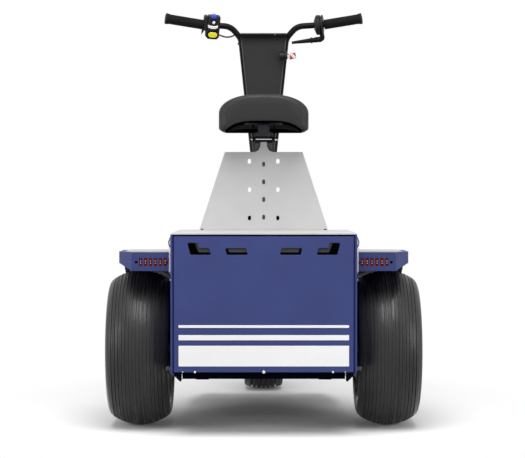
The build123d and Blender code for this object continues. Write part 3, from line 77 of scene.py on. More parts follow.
# Middle line of the right handlebar in the leaning frame, as in the solids
BAR_BEND = np.array([0.110, 0.0, 1.119])
BAR_KNEE = np.array([0.2035, -0.0115, 1.1275])
BAR_END = np.array([0.320, -0.034, 1.151])

# Camera
CAMERA_PLACE = (-0.0036, -5.1825, 0.68)
CAMERA_PITCH = radians(88.8)
CAMERA_LENS = 110.9


# Surfaces

def grid_faces(rows, columns, close_columns):
    """Quads of a grid: each one joins the points (i, j), (i + 1, j), (i + 1, j + 1) and (i, j + 1)."""
    across = columns if close_columns else columns - 1
    i, j = np.meshgrid(np.arange(rows - 1), np.arange(across), indexing="ij")
    right = (j + 1) % columns
    corners = (i * columns + j, (i + 1) * columns + j, (i + 1) * columns + right, i * columns + right)
    return np.stack([c.ravel() for c in corners], axis=1)


def surface(points, close_columns=True):
    """Vertices and quads of a grid of points, rows by columns."""
    rows, columns = points.shape[:2]
    return points.reshape(-1, 3), grid_faces(rows, columns, close_columns)


def placed(part, place):
    """The same surface moved by a 4 by 4 matrix."""
    points, faces = part
    turn = np.array(place)
    return points @ turn[:3, :3].T + turn[:3, 3], faces


def mirrored(part):
    """The same surface on the other side of the machine."""
    points, faces = part
    return points * [-1.0, 1.0, 1.0], faces[:, ::-1]


def both_sides(parts):
    """The surfaces and their mirror images."""
    return list(parts) + [mirrored(part) for part in parts]


def piece(name, body, material, parts, angle=40, replaces=()):
    """One object from surfaces: doubles are merged, normals point outwards, edges sharper than the angle
    stay crisp, and it rides on a body."""
    starts = np.cumsum([0] + [len(points) for points, faces in parts[:-1]])
    vertices = np.concatenate([points for points, faces in parts])
    quads = np.concatenate([faces + start for (points, faces), start in zip(parts, starts)])
    mesh = bpy.data.meshes.new(name)
    mesh.from_pydata(vertices.tolist(), [], quads.tolist())
    work = bmesh.new()
    work.from_mesh(mesh)
    bmesh.ops.remove_doubles(work, verts=work.verts, dist=1e-6)
    bmesh.ops.dissolve_degenerate(work, edges=work.edges, dist=1e-7)
    bmesh.ops.recalc_face_normals(work, faces=work.faces)
    work.to_mesh(mesh)
    work.free()
    mesh.materials.append(material)
    made = bpy.data.objects.new(name, mesh)
    bpy.context.scene.collection.objects.link(made)
    mesh.shade_smooth()
    mesh.set_sharp_from_angle(angle=radians(angle))
    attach(made, body)
    if replaces:
        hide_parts(*replaces)
    return made


def rounded_box(low, high, radius, steps):
    """Box with round edges: as a unit direction runs over the sphere, each point is the corner of the
    inner box that it points to, plus radius times the direction. Both poles are drawn together."""
    low, high = np.array(low, float), np.array(high, float)
    quarter = np.linspace(0, pi / 2, steps + 1)
    around = np.concatenate([quarter + k * pi / 2 for k in range(4)])
    side_x = np.repeat([1, -1, -1, 1], steps + 1)
    side_y = np.repeat([1, 1, -1, -1], steps + 1)
    rise = np.concatenate([quarter - pi / 2, quarter])[:, None]
    side_z = np.repeat([-1, 1], steps + 1)[:, None]
    inner = (high - low) / 2 - radius
    x = inner[0] * side_x + radius * np.cos(rise) * np.cos(around)
    y = inner[1] * side_y + radius * np.cos(rise) * np.sin(around)
    z = inner[2] * side_z + radius * np.sin(rise) + 0 * x
    points = np.stack([x, y, z], axis=2)
    ends = points[[0, -1]] * [0, 0, 1]
    points = np.concatenate([ends[:1], points, ends[1:]]) + (low + high) / 2
    return surface(points)


def lathe(profile, place, segments):
    """Surface of revolution: the profile's points (distance along Z, radius) turn once round Z."""
    profile = np.array(profile, float)
    turn = np.arange(segments) * 2 * pi / segments
    along, radius = profile[:, :1], profile[:, 1:]
    points = np.stack([radius * np.cos(turn), radius * np.sin(turn), along + 0 * turn], axis=2)
    return placed(surface(points), place)


def tube(path, radius, sides):
    """Round bar along a path, with a radius at each of its points: each ring is centred on its point,
    square to the path there. Both ends are drawn together."""
    path = np.array(path, float)
    along = np.gradient(path, axis=0)
    along /= np.linalg.norm(along, axis=1)[:, None]
    side = np.cross(along, [0.0, 1.0, 0.0])
    side /= np.linalg.norm(side, axis=1)[:, None]
    front = np.cross(side, along)
    turn = np.arange(sides) * 2 * pi / sides
    ring = side[:, None] * np.cos(turn)[:, None] + front[:, None] * np.sin(turn)[:, None]
    points = path[:, None] + ring * radius[:, None, None]
    middle = np.broadcast_to(path[[0, -1]][:, None], (2, sides, 3))
    return surface(np.concatenate([middle[:1], points, middle[1:]]))


def inset(outline, distance):
    """Closed outline drawn in by a distance: each corner moves along the sum of its two edge normals."""
    edges = np.roll(outline, -1, axis=0) - outline
    normals = np.stack([edges[:, 1], -edges[:, 0]], axis=1)
    normals /= np.linalg.norm(normals, axis=1)[:, None]
    before = np.roll(normals, 1, axis=0)
    share = 1 + np.sum(before * normals, axis=1)
    return outline - distance * (before + normals) / share[:, None]


def plate(outline, low, high, edge, place):
    """Flat plate: an outline, anticlockwise in X and Y, carried along Z, with its two rims turned in
    by edge. Both faces are fans to the middle."""
    outline = np.array(outline, float)
    small = inset(outline, edge)
    middle = np.broadcast_to(outline.mean(axis=0), outline.shape)
    rings = [(middle, low), (small, low), (outline, low + edge), (outline, high - edge), (small, high),
             (middle, high)]
    points = np.stack([np.column_stack([flat, np.full(len(flat), z)]) for flat, z in rings])
    return placed(surface(points), place)


def rounded_outline(width, height, radius, steps=5):
    """Rectangle with round corners, anticlockwise: the corner's centre plus radius times a direction."""
    quarter = np.linspace(0, pi / 2, steps + 1)
    turn = np.concatenate([quarter + k * pi / 2 for k in range(4)])
    side_x = np.repeat([1, -1, -1, 1], steps + 1)
    side_y = np.repeat([1, 1, -1, -1], steps + 1)
    x = (width / 2 - radius) * side_x + radius * np.cos(turn)
    y = (height / 2 - radius) * side_y + radius * np.sin(turn)
    return np.column_stack([x, y])


def facing(x, y, z):
    """Frame at a point, turned to the rear: X to the right, Y up, Z backward."""
    return Matrix.Translation((x, y, z)) @ Matrix.Rotation(pi / 2, 4, "X")


def sideways(x, y, z):
    """Frame at a point with its Z to the right."""
    return Matrix.Translation((x, y, z)) @ Matrix.Rotation(pi / 2, 4, "Y")


# Materials

def linear(colour):
    """Linear colour of screen values from 0 to 255."""
    share = np.array(colour, float) / 255
    return tuple(np.where(share <= 0.04045, share / 12.92, ((share + 0.055) / 1.055) ** 2.4)) + (1.0,)


class Finish:
    """One material: a Principled shader with the nodes that vary its colour, roughness and relief."""

    def __init__(self, name, colour, roughness, metallic=0.0, specular=0.5):
        self.material = bpy.data.materials.new(name)
        self.material.use_nodes = True
        self.tree = self.material.node_tree
        self.colour = linear(colour)
        self.inputs = self.tree.nodes["Principled BSDF"].inputs
        self.inputs["Base Color"].default_value = self.colour
        self.inputs["Roughness"].default_value = roughness
        self.inputs["Metallic"].default_value = metallic
        self.inputs["Specular IOR Level"].default_value = specular
        self.place = self.node("ShaderNodeTexCoord").outputs["Object"]
        self.relief = None

    def node(self, kind, **values):
        """New shader node with these settings."""
        made = self.tree.nodes.new(kind)
        for name, value in values.items():
            setattr(made, name, value)
        return made

    def link(self, source, target):
        self.tree.links.new(source, target)

    def stretched(self, scale):
        """Object coordinates scaled by three factors."""
        mapping = self.node("ShaderNodeMapping")
        mapping.inputs["Scale"].default_value = scale
        self.link(self.place, mapping.inputs["Vector"])
        return mapping.outputs["Vector"]

    def noise(self, size, detail=3.0, stretch=None):
        """Noise with grains of about this size in metres."""
        made = self.node("ShaderNodeTexNoise")
        made.inputs["Scale"].default_value = 1.0 / size
        made.inputs["Detail"].default_value = detail
        self.link(self.stretched(stretch) if stretch else self.place, made.inputs["Vector"])
        return made.outputs["Fac"]

    def ranged(self, value, low, high, start=0.3, end=0.7):
        """Value carried from start and end to low and high."""
        made = self.node("ShaderNodeMapRange")
        made.inputs["From Min"].default_value = start
        made.inputs["From Max"].default_value = end
        made.inputs["To Min"].default_value = low
        made.inputs["To Max"].default_value = high
        self.link(value, made.inputs["Value"])
        return made.outputs["Result"]

    def vary_colour(self, share, value):
        """Colour runs between a darker and a lighter tone by a value from 0 to 1."""
        mix = self.node("ShaderNodeMix", data_type="RGBA")
        mix.inputs["A"].default_value = tuple(c * (1 - share) for c in self.colour[:3]) + (1.0,)
        mix.inputs["B"].default_value = tuple(min(1.0, c * (1 + share)) for c in self.colour[:3]) + (1.0,)
        self.link(self.ranged(value, 0.0, 1.0), mix.inputs["Factor"])
        self.link(mix.outputs["Result"], self.inputs["Base Color"])
        return self

    def vary_roughness(self, low, high, value):
        """Roughness runs from low to high by a value from 0 to 1."""
        self.link(self.ranged(value, low, high), self.inputs["Roughness"])
        return self

    def bump(self, value, depth, strength=1.0):
        """Relief of this depth in metres."""
        made = self.node("ShaderNodeBump")
        made.inputs["Distance"].default_value = depth
        made.inputs["Strength"].default_value = strength
        self.link(value, made.inputs["Height"])
        if self.relief is not None:
            self.link(self.relief, made.inputs["Normal"])
        self.relief = made.outputs["Normal"]
        self.link(self.relief, self.inputs["Normal"])
        return self

    def soft_edges(self, radius):
        """Edges of the folded sheet look rounded by this radius."""
        made = self.node("ShaderNodeBevel", samples=4)
        made.inputs["Radius"].default_value = radius
        self.relief = made.outputs["Normal"]
        self.link(self.relief, self.inputs["Normal"])
        return self


def powder_coat(name, colour, roughness=0.42, edge=0.0015, specular=0.35):
    """Sprayed and baked paint on folded sheet: fine orange peel and slightly uneven gloss."""
    made = Finish(name, colour, roughness, specular=specular)
    if edge:
        made.soft_edges(edge)
    made.vary_colour(0.05, made.noise(0.12))
    made.vary_roughness(roughness - 0.06, roughness + 0.08, made.noise(0.03))
    made.bump(made.noise(0.0016, 2.0), 0.00004, 0.6)
    return made.material


def moulded_plastic(name, colour, roughness, grain=0.0008, depth=0.00005, specular=0.4):
    """Injection moulded plastic with a spark-eroded grain."""
    made = Finish(name, colour, roughness, specular=specular)
    made.vary_roughness(roughness - 0.06, roughness + 0.08, made.noise(0.01))
    made.vary_colour(0.04, made.noise(0.02))
    made.bump(made.noise(grain, 2.0), depth)
    return made.material


def tyre_rubber(name, colour):
    """Tyre rubber: streaks of gloss round the tread and a slightly uneven tone."""
    made = Finish(name, colour, 0.5, specular=0.4)
    made.vary_colour(0.14, made.noise(0.02, 5.0, (3.0, 0.6, 0.6)))
    made.vary_roughness(0.16, 0.66, made.noise(0.006, 1.0, (1.0, 0.02, 0.02)))
    made.bump(made.noise(0.0012, 3.0), 0.00012, 0.8)
    return made.material


def bright_metal(name, colour, roughness):
    """Plated or machined steel with fine marks."""
    made = Finish(name, colour, roughness, metallic=1.0)
    made.vary_roughness(roughness * 0.8, roughness * 1.3, made.noise(0.004, 4.0))
    made.vary_colour(0.05, made.noise(0.01))
    made.bump(made.noise(0.0007, 2.0), 0.00003, 0.5)
    return made.material


def seat_vinyl(name, colour):
    """Moulded seat skin with a leather grain."""
    made = Finish(name, colour, 0.5, specular=0.3)
    cells = made.node("ShaderNodeTexVoronoi", feature="DISTANCE_TO_EDGE")
    cells.inputs["Scale"].default_value = 1.0 / 0.0032
    made.link(made.place, cells.inputs["Vector"])
    made.bump(made.ranged(cells.outputs["Distance"], 0.0, 1.0, 0.0, 0.25), 0.00012, 0.5)
    made.vary_colour(0.06, made.noise(0.05))
    made.vary_roughness(0.42, 0.58, made.noise(0.02))
    return made.material


def lamp_plastic(name, colour):
    """Glossy lamp plastic with a faint mottle."""
    made = Finish(name, colour, 0.3, specular=0.15)
    made.vary_colour(0.15, made.noise(0.004))
    made.bump(made.noise(0.002, 1.0), 0.00005, 0.4)
    return made.material


BLUE = powder_coat("blue_powder_coat", (66, 75, 127), specular=0.1)
GREY = powder_coat("light_grey_powder_coat", (194, 194, 194), 0.6, 0.003, specular=0.1)
LID = powder_coat("lid_grey_powder_coat", (194, 194, 193), 0.5)
# Dark navy paint made nearly black: painted shade on the frame, pan, footboard, fork and brackets under the
# body and the seat; the switch bezels keep it as their own colour.
NAVY_AND_SHADE = powder_coat("dark_navy_paint_and_shade", (5, 6, 20), 0.6, specular=0.02)
BLACK = powder_coat("satin_black_paint", (17, 17, 19), 0.33, specular=0.1)
# Black without gloss: painted shade in the gap under the lid, in slots and holes, in the lamp slots and in
# the recess under the seat.
SHADE_BLACK = powder_coat("painted_shade_black", (5, 5, 6), 0.9, 0.0, specular=0.0)
SEAM = powder_coat("seam_navy", (18, 22, 78), 0.6, 0.0, specular=0.15)
RAIL = powder_coat("inner_rail_grey", (70, 70, 70), 0.7, 0.0, specular=0.05)
LIP = powder_coat("dark_grey_paint", (82, 82, 83), 0.45, specular=0.2)
PANEL = moulded_plastic("textured_panel", (57, 57, 57), 0.6, specular=0.15)
RIM = powder_coat("silver_rim_paint", (186, 188, 190), 0.35)
RUBBER = tyre_rubber("tyre_rubber", (43, 43, 44))
MAT = moulded_plastic("mat_rubber", (34, 34, 35), 0.7, 0.0012, 0.0001)
GRIP = moulded_plastic("grip_rubber", (25, 25, 26), 0.6, 0.0009, 0.00008, 0.08)
SEAT = seat_vinyl("seat_vinyl", (34, 34, 35))
CASTING = powder_coat("casting_grey", (70, 71, 76), 0.5, 0.002)
CONTROL = moulded_plastic("control_plastic", (27, 27, 29), 0.4, specular=0.2)
CASE = moulded_plastic("battery_case", (42, 42, 44), 0.6)
ZINC = bright_metal("zinc_plated_steel", (160, 160, 162), 0.35)
CHROME = bright_metal("chrome", (205, 206, 210), 0.12)
WHITE = powder_coat("white_stripe", (255, 255, 255), 0.45, 0.0)
STRIPE_EDGE = powder_coat("stripe_edge_blue", (45, 55, 114), 0.45, 0.0, specular=0.1)
RED = lamp_plastic("lamp_red", (122, 8, 5))
# Pale pink: painted highlight on the lamp's diode domes.
PALE_HIGHLIGHT = lamp_plastic("lamp_diode_highlight", (190, 140, 130))
CREAM = powder_coat("cream_grey", (178, 176, 170), 0.5, 0.0)
YELLOW = moulded_plastic("yellow_button", (232, 220, 50), 0.35)
BUTTON_BLUE = moulded_plastic("blue_button", (60, 80, 220), 0.35)
BUTTON_WHITE = moulded_plastic("white_button", (236, 236, 238), 0.35)
TAG = moulded_plastic("tag_red", (204, 40, 44), 0.35)
AMBER = lamp_plastic("amber_lamp", (240, 150, 40))
CABLE = moulded_plastic("cable_jacket", (24, 24, 26), 0.5)

CAD_FINISHES = {
    "body_side_right": BLUE, "body_side_left": BLUE, "rear_panel": BLUE, "front_panel": BLUE,
    "fender_right": BLUE, "fender_left": BLUE, "front_mudguard": BLUE,
    "top_lid": LID, "seat_tower": GREY, "tower_post": CASTING, "upstand_right": CREAM, "upstand_left": CREAM,
    # The parts under the body and the seat take the dark navy made nearly black as painted shade.
    "bottom_pan": NAVY_AND_SHADE, "corner_brackets": NAVY_AND_SHADE, "chassis_frame": NAVY_AND_SHADE, "footboard": NAVY_AND_SHADE, "fork": NAVY_AND_SHADE,
    "seat_bracket": NAVY_AND_SHADE, "battery_block": CASE, "rear_transaxle": CASTING, "seat_casting": CASTING,
    "rear_rim_right": RIM, "rear_rim_left": RIM, "front_rim": RIM, "front_axle": ZINC, "seat_bolt": CHROME,
    "column_tubes": BLACK, "top_console": BLACK, "column_panel": PANEL, "column_lips": LIP,
    "lamp_lens_right": RED, "lamp_lens_left": RED, "footboard_mat": MAT, "lever_housing": CONTROL,
    "hand_lever": BLACK, "key_switch": CONTROL, "key_tag": TAG, "switch_cluster": CONTROL,
    "rear_tyre_right": RUBBER, "rear_tyre_left": RUBBER, "front_tyre": RUBBER, "grip_right": GRIP,
    "grip_left": GRIP, "seat_pad": SEAT, "switch_cable": CABLE,
}


def finish_solids():
    """Every solid gets its material, also those that a finished piece replaces."""
    for name, material in CAD_FINISHES.items():
        nodes[name].data.materials.clear()
        nodes[name].data.materials.append(material)


# Tyres

# Steps round a wheel, how far the side ends over the bead, and the spacing of the grooves
TYRE_STEPS = 144
BEAD_HEIGHT = 0.0113
REAR_GROOVE_PITCH = 0.0102
FRONT_GROOVE_PITCH = 0.0162


def tyre_profile(radius, width, shoulder, drop, bead_radius, bead_width, cuts):
    """Section of a ribbed tyre as (x, radius): a crown arc that falls by drop at the shoulder, a
    round shoulder, a side that runs in to the bead, and grooves cut square to the crown. Each cut is
    (middle, half its width, depth)."""
    crown = (shoulder ** 2 + drop ** 2) / (2 * drop)
    slope = np.arcsin(shoulder / crown)
    turn = (width / 2 - shoulder) / (1 - sin(slope))
    low = radius - drop - turn * cos(slope)
    middle, half, depth = cuts.T[:, :, None]
    x = (middle + half * np.array([-1.3, -0.8, 0.8, 1.3])).ravel()
    r = radius - crown + np.sqrt(crown ** 2 - x ** 2) - (depth * np.array([0, 1, 1, 0])).ravel()
    lean = np.linspace(pi / 2 - slope, 0, 12)
    shoulder_x = width / 2 - turn + turn * np.cos(lean)
    shoulder_r = low + turn * np.sin(lean)
    t = np.linspace(0, 1, 9)[1:]
    side_x = width / 2 + (bead_width / 2 - width / 2) * t ** 1.5
    side_r = low + (bead_radius + BEAD_HEIGHT - low) * t
    right_x = np.concatenate([shoulder_x, side_x, [bead_width / 2]])
    right_r = np.concatenate([shoulder_r, side_r, [bead_radius]])
    x = np.concatenate([-right_x[::-1], x, right_x])
    return np.column_stack([x, np.concatenate([right_r[::-1], r, right_r])])


def wheel_tyre(name, node, body, shoulder, drop, bead_radius, bead_width, cuts):
    """Ribbed tyre in place of its solid: the section turned round the wheel's axle."""
    low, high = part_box(node)
    radius = (high.z - low.z) / 2
    profile = tyre_profile(radius, high.x - low.x, shoulder, drop, bead_radius, bead_width, cuts)
    closed = np.concatenate([profile, profile[:1]])
    centre = (low + high) / 2
    piece(name, body, RUBBER, [lathe(closed, sideways(*centre), TYRE_STEPS)], angle=35, replaces=[node])


def tyres():
    """Rear tyres with fifteen deep grooves and a fine line between each two, front tyre with seven ribs."""
    fine = [(REAR_GROOVE_PITCH * (i - 6.5), 0.0006, 0.0007) for i in range(14)]
    deep = [(REAR_GROOVE_PITCH * (i - 7), 0.0011, 0.0024) for i in range(15)]
    cuts = np.array(sorted(deep + fine))
    for side in ("right", "left"):
        wheel_tyre(f"ribbed_rear_tyre_{side}", f"rear_tyre_{side}", f"rear_wheel_{side}",
                   shoulder=0.078, drop=0.024, bead_radius=0.102, bead_width=0.124, cuts=cuts)
    cuts = np.array([(FRONT_GROOVE_PITCH * (i - 2.5), 0.0028, 0.0070) for i in range(6)])
    wheel_tyre("ribbed_front_tyre", "front_tyre", "front_wheel",
               shoulder=0.058, drop=0.009, bead_radius=0.077, bead_width=0.096, cuts=cuts)


# Rear panel: stripes and screws

# Stripes: their width, each one's lower and upper edge, the rim of the darker edge round them, and
# the thickness of one layer of film
STRIPE_WIDTH = 0.4754
STRIPE_BANDS = ((0.3101, 0.3177), (0.2754, 0.2901), (0.2024, 0.2603))
STRIPE_RIM = 0.0012
FILM = 0.0003


def film(outline, place, layers=2):
    """Thin film on a face, with its rim turned in by a third of a layer."""
    return plate(outline, 0, layers * FILM, FILM / 3, place)


def stripes():
    """White film stripes on the rear panel, each with a thin darker edge under it."""
    whites = []
    edges = []
    for low, high in STRIPE_BANDS:
        place = facing(0, PANEL_LOW.y, (low + high) / 2)
        whites.append(film(rounded_outline(STRIPE_WIDTH, high - low, 0.0012), place))
        grown = rounded_outline(STRIPE_WIDTH + 2 * STRIPE_RIM, high - low + 2 * STRIPE_RIM, 0.0018)
        edges.append(film(grown, place, 1))
    piece("white_stripes", "chassis", WHITE, whites)
    piece("stripe_edges", "chassis", STRIPE_EDGE, edges)


def screw_head(radius, height, place):
    """Domed head: a quarter ellipse turned round its axis."""
    t = np.linspace(0, pi / 2, 7)
    profile = np.column_stack([height * np.sin(t), radius * np.cos(t)])
    return lathe(np.concatenate([[(0, 0)], profile]), place, 20)


def panel_screws():
    """Bright screws along the lower flange of the rear panel, each at its X and of its radius."""
    z = PANEL_LOW.z + 0.0005
    screws = ((0.0, 0.0045), (-0.192, 0.0032), (0.193, 0.0032), (-0.226, 0.0018), (0.227, 0.0018))
    heads = [screw_head(radius, radius * 0.6, facing(x, PANEL_LOW.y, z)) for x, radius in screws]
    piece("panel_screws", "chassis", CHROME, heads)


# Seat

# Half its width, the half-width and rise of its flat crown, how far its shoulders lie below the top,
# the height on its side where both lines start, and the round corner under the side
SEAT_HALF = (SEAT_HIGH.x - SEAT_LOW.x) / 2
SEAT_FLAT = 0.034
SEAT_CROWN = 0.0002
SEAT_SHOULDER = 0.055
SEAT_PARTING = 0.037
SEAT_TURN = 0.011

# The recess: half its width, its height, the power in its formula, and the wall in front of it
RECESS_HALF = 0.119
RECESS_HEIGHT = 0.0318
RECESS_POWER = 3.8
RECESS_WALL = 0.025

# The ends: round corners in plan, round edges above and below, and their bulge
SEAT_CORNER = 0.030
SEAT_EDGE = 0.013
SEAT_LOWER_EDGE = 0.0025
SEAT_DOME = 0.0015


def recess(x, high):
    """Height of the recess over the seat's lower edge: high in the middle, and it falls off with nearly
    the fourth power of the distance from there."""
    return high * (1 - (np.abs(x) / RECESS_HALF) ** RECESS_POWER)


def seat_section(half, under, low):
    """Upper and lower line of the seat with matching points, both from its left side to its right, for
    a section of this half-width: the upper one goes up the side, round an elliptic shoulder and over
    the crown, the lower one down the side, round the corner and through the recess, whose height in
    the middle is under."""
    flat = SEAT_FLAT * half / SEAT_HALF
    crest = SEAT_HIGH.z - SEAT_CROWN
    shoulder = SEAT_HIGH.z - SEAT_SHOULDER
    middle = low + SEAT_PARTING
    reach = min(RECESS_HALF, half - SEAT_TURN)
    corner = low + recess(reach, under) + SEAT_TURN
    t = np.linspace(0, 1, 6)[:, None]
    bend = np.linspace(0, pi / 2, 13)[1:, None]
    side = np.hstack([-half + 0 * t, middle + (shoulder - middle) * t])
    ellipse = np.hstack([-flat - (half - flat) * np.cos(bend), shoulder + (crest - shoulder) * np.sin(bend)])
    across = np.linspace(-1, 0, 9)[1:, None]
    crown = np.hstack([flat * across, SEAT_HIGH.z - SEAT_CROWN * across ** 2])
    upper = np.concatenate([side, ellipse, crown])
    side = np.hstack([-half + 0 * t, middle + (corner - middle) * t])
    bend = np.linspace(0, pi / 2, 7)[1:, None]
    turn = np.hstack([-half + (half - reach) * (1 - np.cos(bend)), corner - SEAT_TURN * np.sin(bend)])
    x = -reach * np.sin(np.linspace(pi / 2, 0, 15))[1:, None]
    arch = np.hstack([x, low + recess(x, under)])
    lower = np.concatenate([side, turn, arch])
    return [np.concatenate([line, line[-2::-1] * [-1, 1]]) for line in (upper, lower)]


def rounding(radius, into):
    """How far a quarter circle of this radius lies back at a distance from its start."""
    return radius - sqrt(max(radius ** 2 - max(radius - into, 0) ** 2, 0))


def seat_floor(y):
    """Height of the seat's lower edge, which rises by 6 mm from the rear to the front."""
    return SEAT_LOW.z + 0.006 * (y - SEAT_LOW.y) / (SEAT_HIGH.y - SEAT_LOW.y)


def seat_rows(y, into, arched):
    """Both lines at a place along the seat and its distance from the nearer end: the plan's corners and
    the edges over and under the end are round."""
    half = SEAT_HALF - rounding(SEAT_CORNER, into)
    upper, lower = seat_section(half, RECESS_HEIGHT if arched else 0.0, seat_floor(y))
    most = 0.35 * (upper[:, 1] - lower[:, 1])
    upper[:, 1] -= np.minimum(rounding(SEAT_EDGE, into), most)
    lower[:, 1] += np.minimum(rounding(SEAT_LOWER_EDGE, into), most)
    return upper, lower


def seat_cushion():
    """Padded seat: section loops along its length, arched below but for its closed front, and two
    slightly domed ends drawn between the matching points of both lines."""
    rear, front = SEAT_LOW.y, SEAT_HIGH.y
    near = np.unique(np.concatenate([SEAT_EDGE * (1 - np.cos(np.linspace(0, pi / 2, 6))),
                                     SEAT_CORNER * (1 - np.cos(np.linspace(0, pi / 2, 7)))]))
    wall = front - RECESS_WALL
    stops = [rear + SEAT_DOME + d for d in near]
    stops += list(np.linspace(rear + 0.050, wall - 0.001, 12)) + [wall]
    stops += [front - SEAT_DOME - d for d in near[::-1] if front - SEAT_DOME - d > wall + 0.001]
    loops = []
    for y in stops:
        top, under = seat_rows(y, min(y - rear, front - y) - SEAT_DOME, y < wall)
        ring = np.concatenate([top, under[-2:0:-1]])
        loops.append(np.column_stack([ring[:, 0], np.full(len(ring), y), ring[:, 1]]))
    parts = [surface(np.stack(loops))]
    share = np.linspace(0, 1, 9)[:, None]
    for y, way, arched in ((stops[0], -1, True), (stops[-1], 1, False)):
        top, under = seat_rows(y, 0, arched)
        x = top[:, 0] + (under[:, 0] - top[:, 0]) * share
        z = top[:, 1] + (under[:, 1] - top[:, 1]) * share
        bulge = y + way * SEAT_DOME * np.sin(share * pi) ** 0.5 + 0 * x
        parts.append(surface(np.stack([x, bulge, z], axis=2), close_columns=False))
    made = piece("seat_cushion", "chassis", SEAT, parts, angle=75, replaces=["seat_pad"])
    smooth = made.modifiers.new("skin", "SUBSURF")
    smooth.levels = 1
    smooth.render_levels = 1


def seat_shell_and_shade():
    """Base shell under the cushion, 1.2 mm below the recess and on its front wall, black as painted shade in
    the recess.
    """
    rear, wall = SEAT_LOW.y, SEAT_HIGH.y - RECESS_WALL
    share = np.linspace(-1, 1, 41)
    rows = []
    for y in [rear + d for d in (0.003, 0.007, 0.014, 0.024, 0.034)] + [wall - 0.03, wall - 0.0006]:
        x = share * min(0.1175, SEAT_HALF - rounding(SEAT_CORNER, y - rear - SEAT_DOME) - 0.012)
        z = seat_floor(y) - 0.0012 + recess(x, RECESS_HEIGHT)
        rows.append(np.column_stack([x, np.full(len(x), y), z]))
    front = np.stack([rows[-1], rows[-1] * [1, 1, 0] + [0, 0, seat_floor(wall) - 0.0008]])
    parts = [surface(np.stack(rows), close_columns=False), surface(front, close_columns=False)]
    # Black: painted shade in the recess under the seat.
    piece("seat_shell_painted_shade", "chassis", SHADE_BLACK, parts)


def seat_pivot():
    """Small parts of the pivot under the seat: dark bushes on the bolt with a dark plate in front of it as
    painted shadow of the bolt, a block at each side of the casting, and two screw heads beside the tower's
    neck."""
    low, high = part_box("seat_bolt")
    y, z = (low.y + high.y) / 2, (low.z + high.z) / 2
    front = y + 0.0033
    bush = [(0, 0.0031), (0, 0.0060), (0.0052, 0.0060), (0.0052, 0.0031)]
    bushes = both_sides([lathe(bush, sideways(0.0246, y, z), 24)])
    # Dark plate behind the bolt: painted shadow of the bolt.
    bolt_shadow = plate(rounded_outline(0.053, 0.020, 0.002), 0, 0.0008, 0.0003, facing(0, front, z - 0.002))
    piece("pivot_bushes_and_shadow", "chassis", BLACK, bushes + [bolt_shadow])
    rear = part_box("seat_casting")[0].y
    block = rounded_box((0.0130, rear - 0.0016, 0.8600), (0.0262, rear + 0.0060, 0.8735), 0.0012, 3)
    piece("pivot_blocks", "chassis", CASTING, both_sides([block]))
    head = screw_head(0.0026, 0.0016, facing(0.0172, front, 0.8195))
    piece("pivot_screws", "chassis", BLACK, both_sides([head]))


# Handlebar

def on_bar(distance, side=1):
    """Frame on the bar at this distance from the machine's middle: X forward, Y up, Z outward."""
    first, last = (BAR_BEND, BAR_KNEE) if distance < BAR_KNEE[0] else (BAR_KNEE, BAR_END)
    share = (distance - first[0]) / (last[0] - first[0])
    along = Vector(last - first).normalized()
    up = along.cross(Vector((0, 1, 0))).normalized()
    local = Matrix((up.cross(along), up, along)).transposed().to_4x4()
    local.translation = Vector(first + share * (last - first))
    return Matrix.Diagonal((side, 1, 1, 1)) @ STEERING @ local


def grips():
    """Rubber grips: fine rings up to a bead at the closed outer end."""
    length = float(np.linalg.norm(BAR_END - BAR_KNEE))
    rings = 30
    t = np.linspace(0, 1, rings * 6 + 1)
    radius = 0.0155 + 0.0008 * np.abs(np.sin(pi * rings * t)) ** 0.6
    barrel = np.column_stack([0.003 + (length - 0.013) * t, radius])
    head = [(-0.0008, 0.0112), (-0.0008, 0.0158), (0.0004, 0.0164), (0.0022, 0.0164)]
    bead = np.array([(-0.0090, 0.0166), (-0.0010, 0.0180), (0.0022, 0.0184), (0.0031, 0.0180),
                     (0.0035, 0.0168), (0.0035, 0.0)]) + [length, 0]
    profile = np.concatenate([head, barrel, bead])
    for side, label in ((1, "right"), (-1, "left")):
        piece(f"ribbed_grip_{label}", "steering", GRIP, [lathe(profile, on_bar(BAR_KNEE[0], side), 40)],
              replaces=[f"grip_{label}"])


# Switch housing on the left bar, drawn in the frame that faces the rider

SWITCH_INNER = 0.146
DOT_PLACE = (0.0222, 0.0120)
OVAL_PLACE = (0.0226, -0.0290)


def on_switch(x=0, y=0, z=0):
    """Frame on the housing, from its inner end: X outward, Y up, Z backward to the rider."""
    turned = Matrix(((0, 0, -1, 0), (0, 1, 0, 0), (1, 0, 0, 0), (0, 0, 0, 1)))
    return on_bar(SWITCH_INNER, -1) @ turned @ Matrix.Translation((x, y, z))


def ring(inner, outer, height, place):
    """Raised ring with a round top: half an ellipse over its width."""
    t = np.linspace(0, pi, 9)
    middle, half = (inner + outer) / 2, (outer - inner) / 2
    return lathe(np.column_stack([height * np.sin(t), middle + half * np.cos(t)]), place, 32)


def switch_housing():
    """Housing in two halves with a pod below, its corners cut, and a pointed trigger outside."""
    face = on_switch()
    pod = [(0.0005, -0.014), (0.0005, -0.036), (0.008, -0.0445), (0.037, -0.0445), (0.046, -0.036),
           (0.046, -0.014)]
    trigger = [(0.049, -0.010), (0.053, -0.024), (0.0592, -0.033), (0.0582, -0.014), (0.0535, -0.003)]
    parts = [placed(rounded_box((0, -0.020, -0.018), (0.0415, 0.034, 0.018), 0.006, 5), face),
             placed(rounded_box((0.0405, -0.0185, -0.0165), (0.0545, 0.0325, 0.0165), 0.006, 5), face),
             plate(pod, -0.0155, 0.0160, 0.0030, face), plate(trigger, -0.005, 0.006, 0.0012, face)]
    piece("switch_housing", "steering", CONTROL, parts, replaces=["switch_cluster"])
    rim = ring(0.0056, 0.0080, 0.0016, on_switch(*DOT_PLACE, 0.0178))
    oval = rounded_outline(0.0380, 0.0235, 0.0110, 8)
    bezel = plate(oval, 0, 0.0018, 0.0007, on_switch(*OVAL_PLACE, 0.0158))
    piece("switch_bezels", "steering", NAVY_AND_SHADE, [rim, bezel])


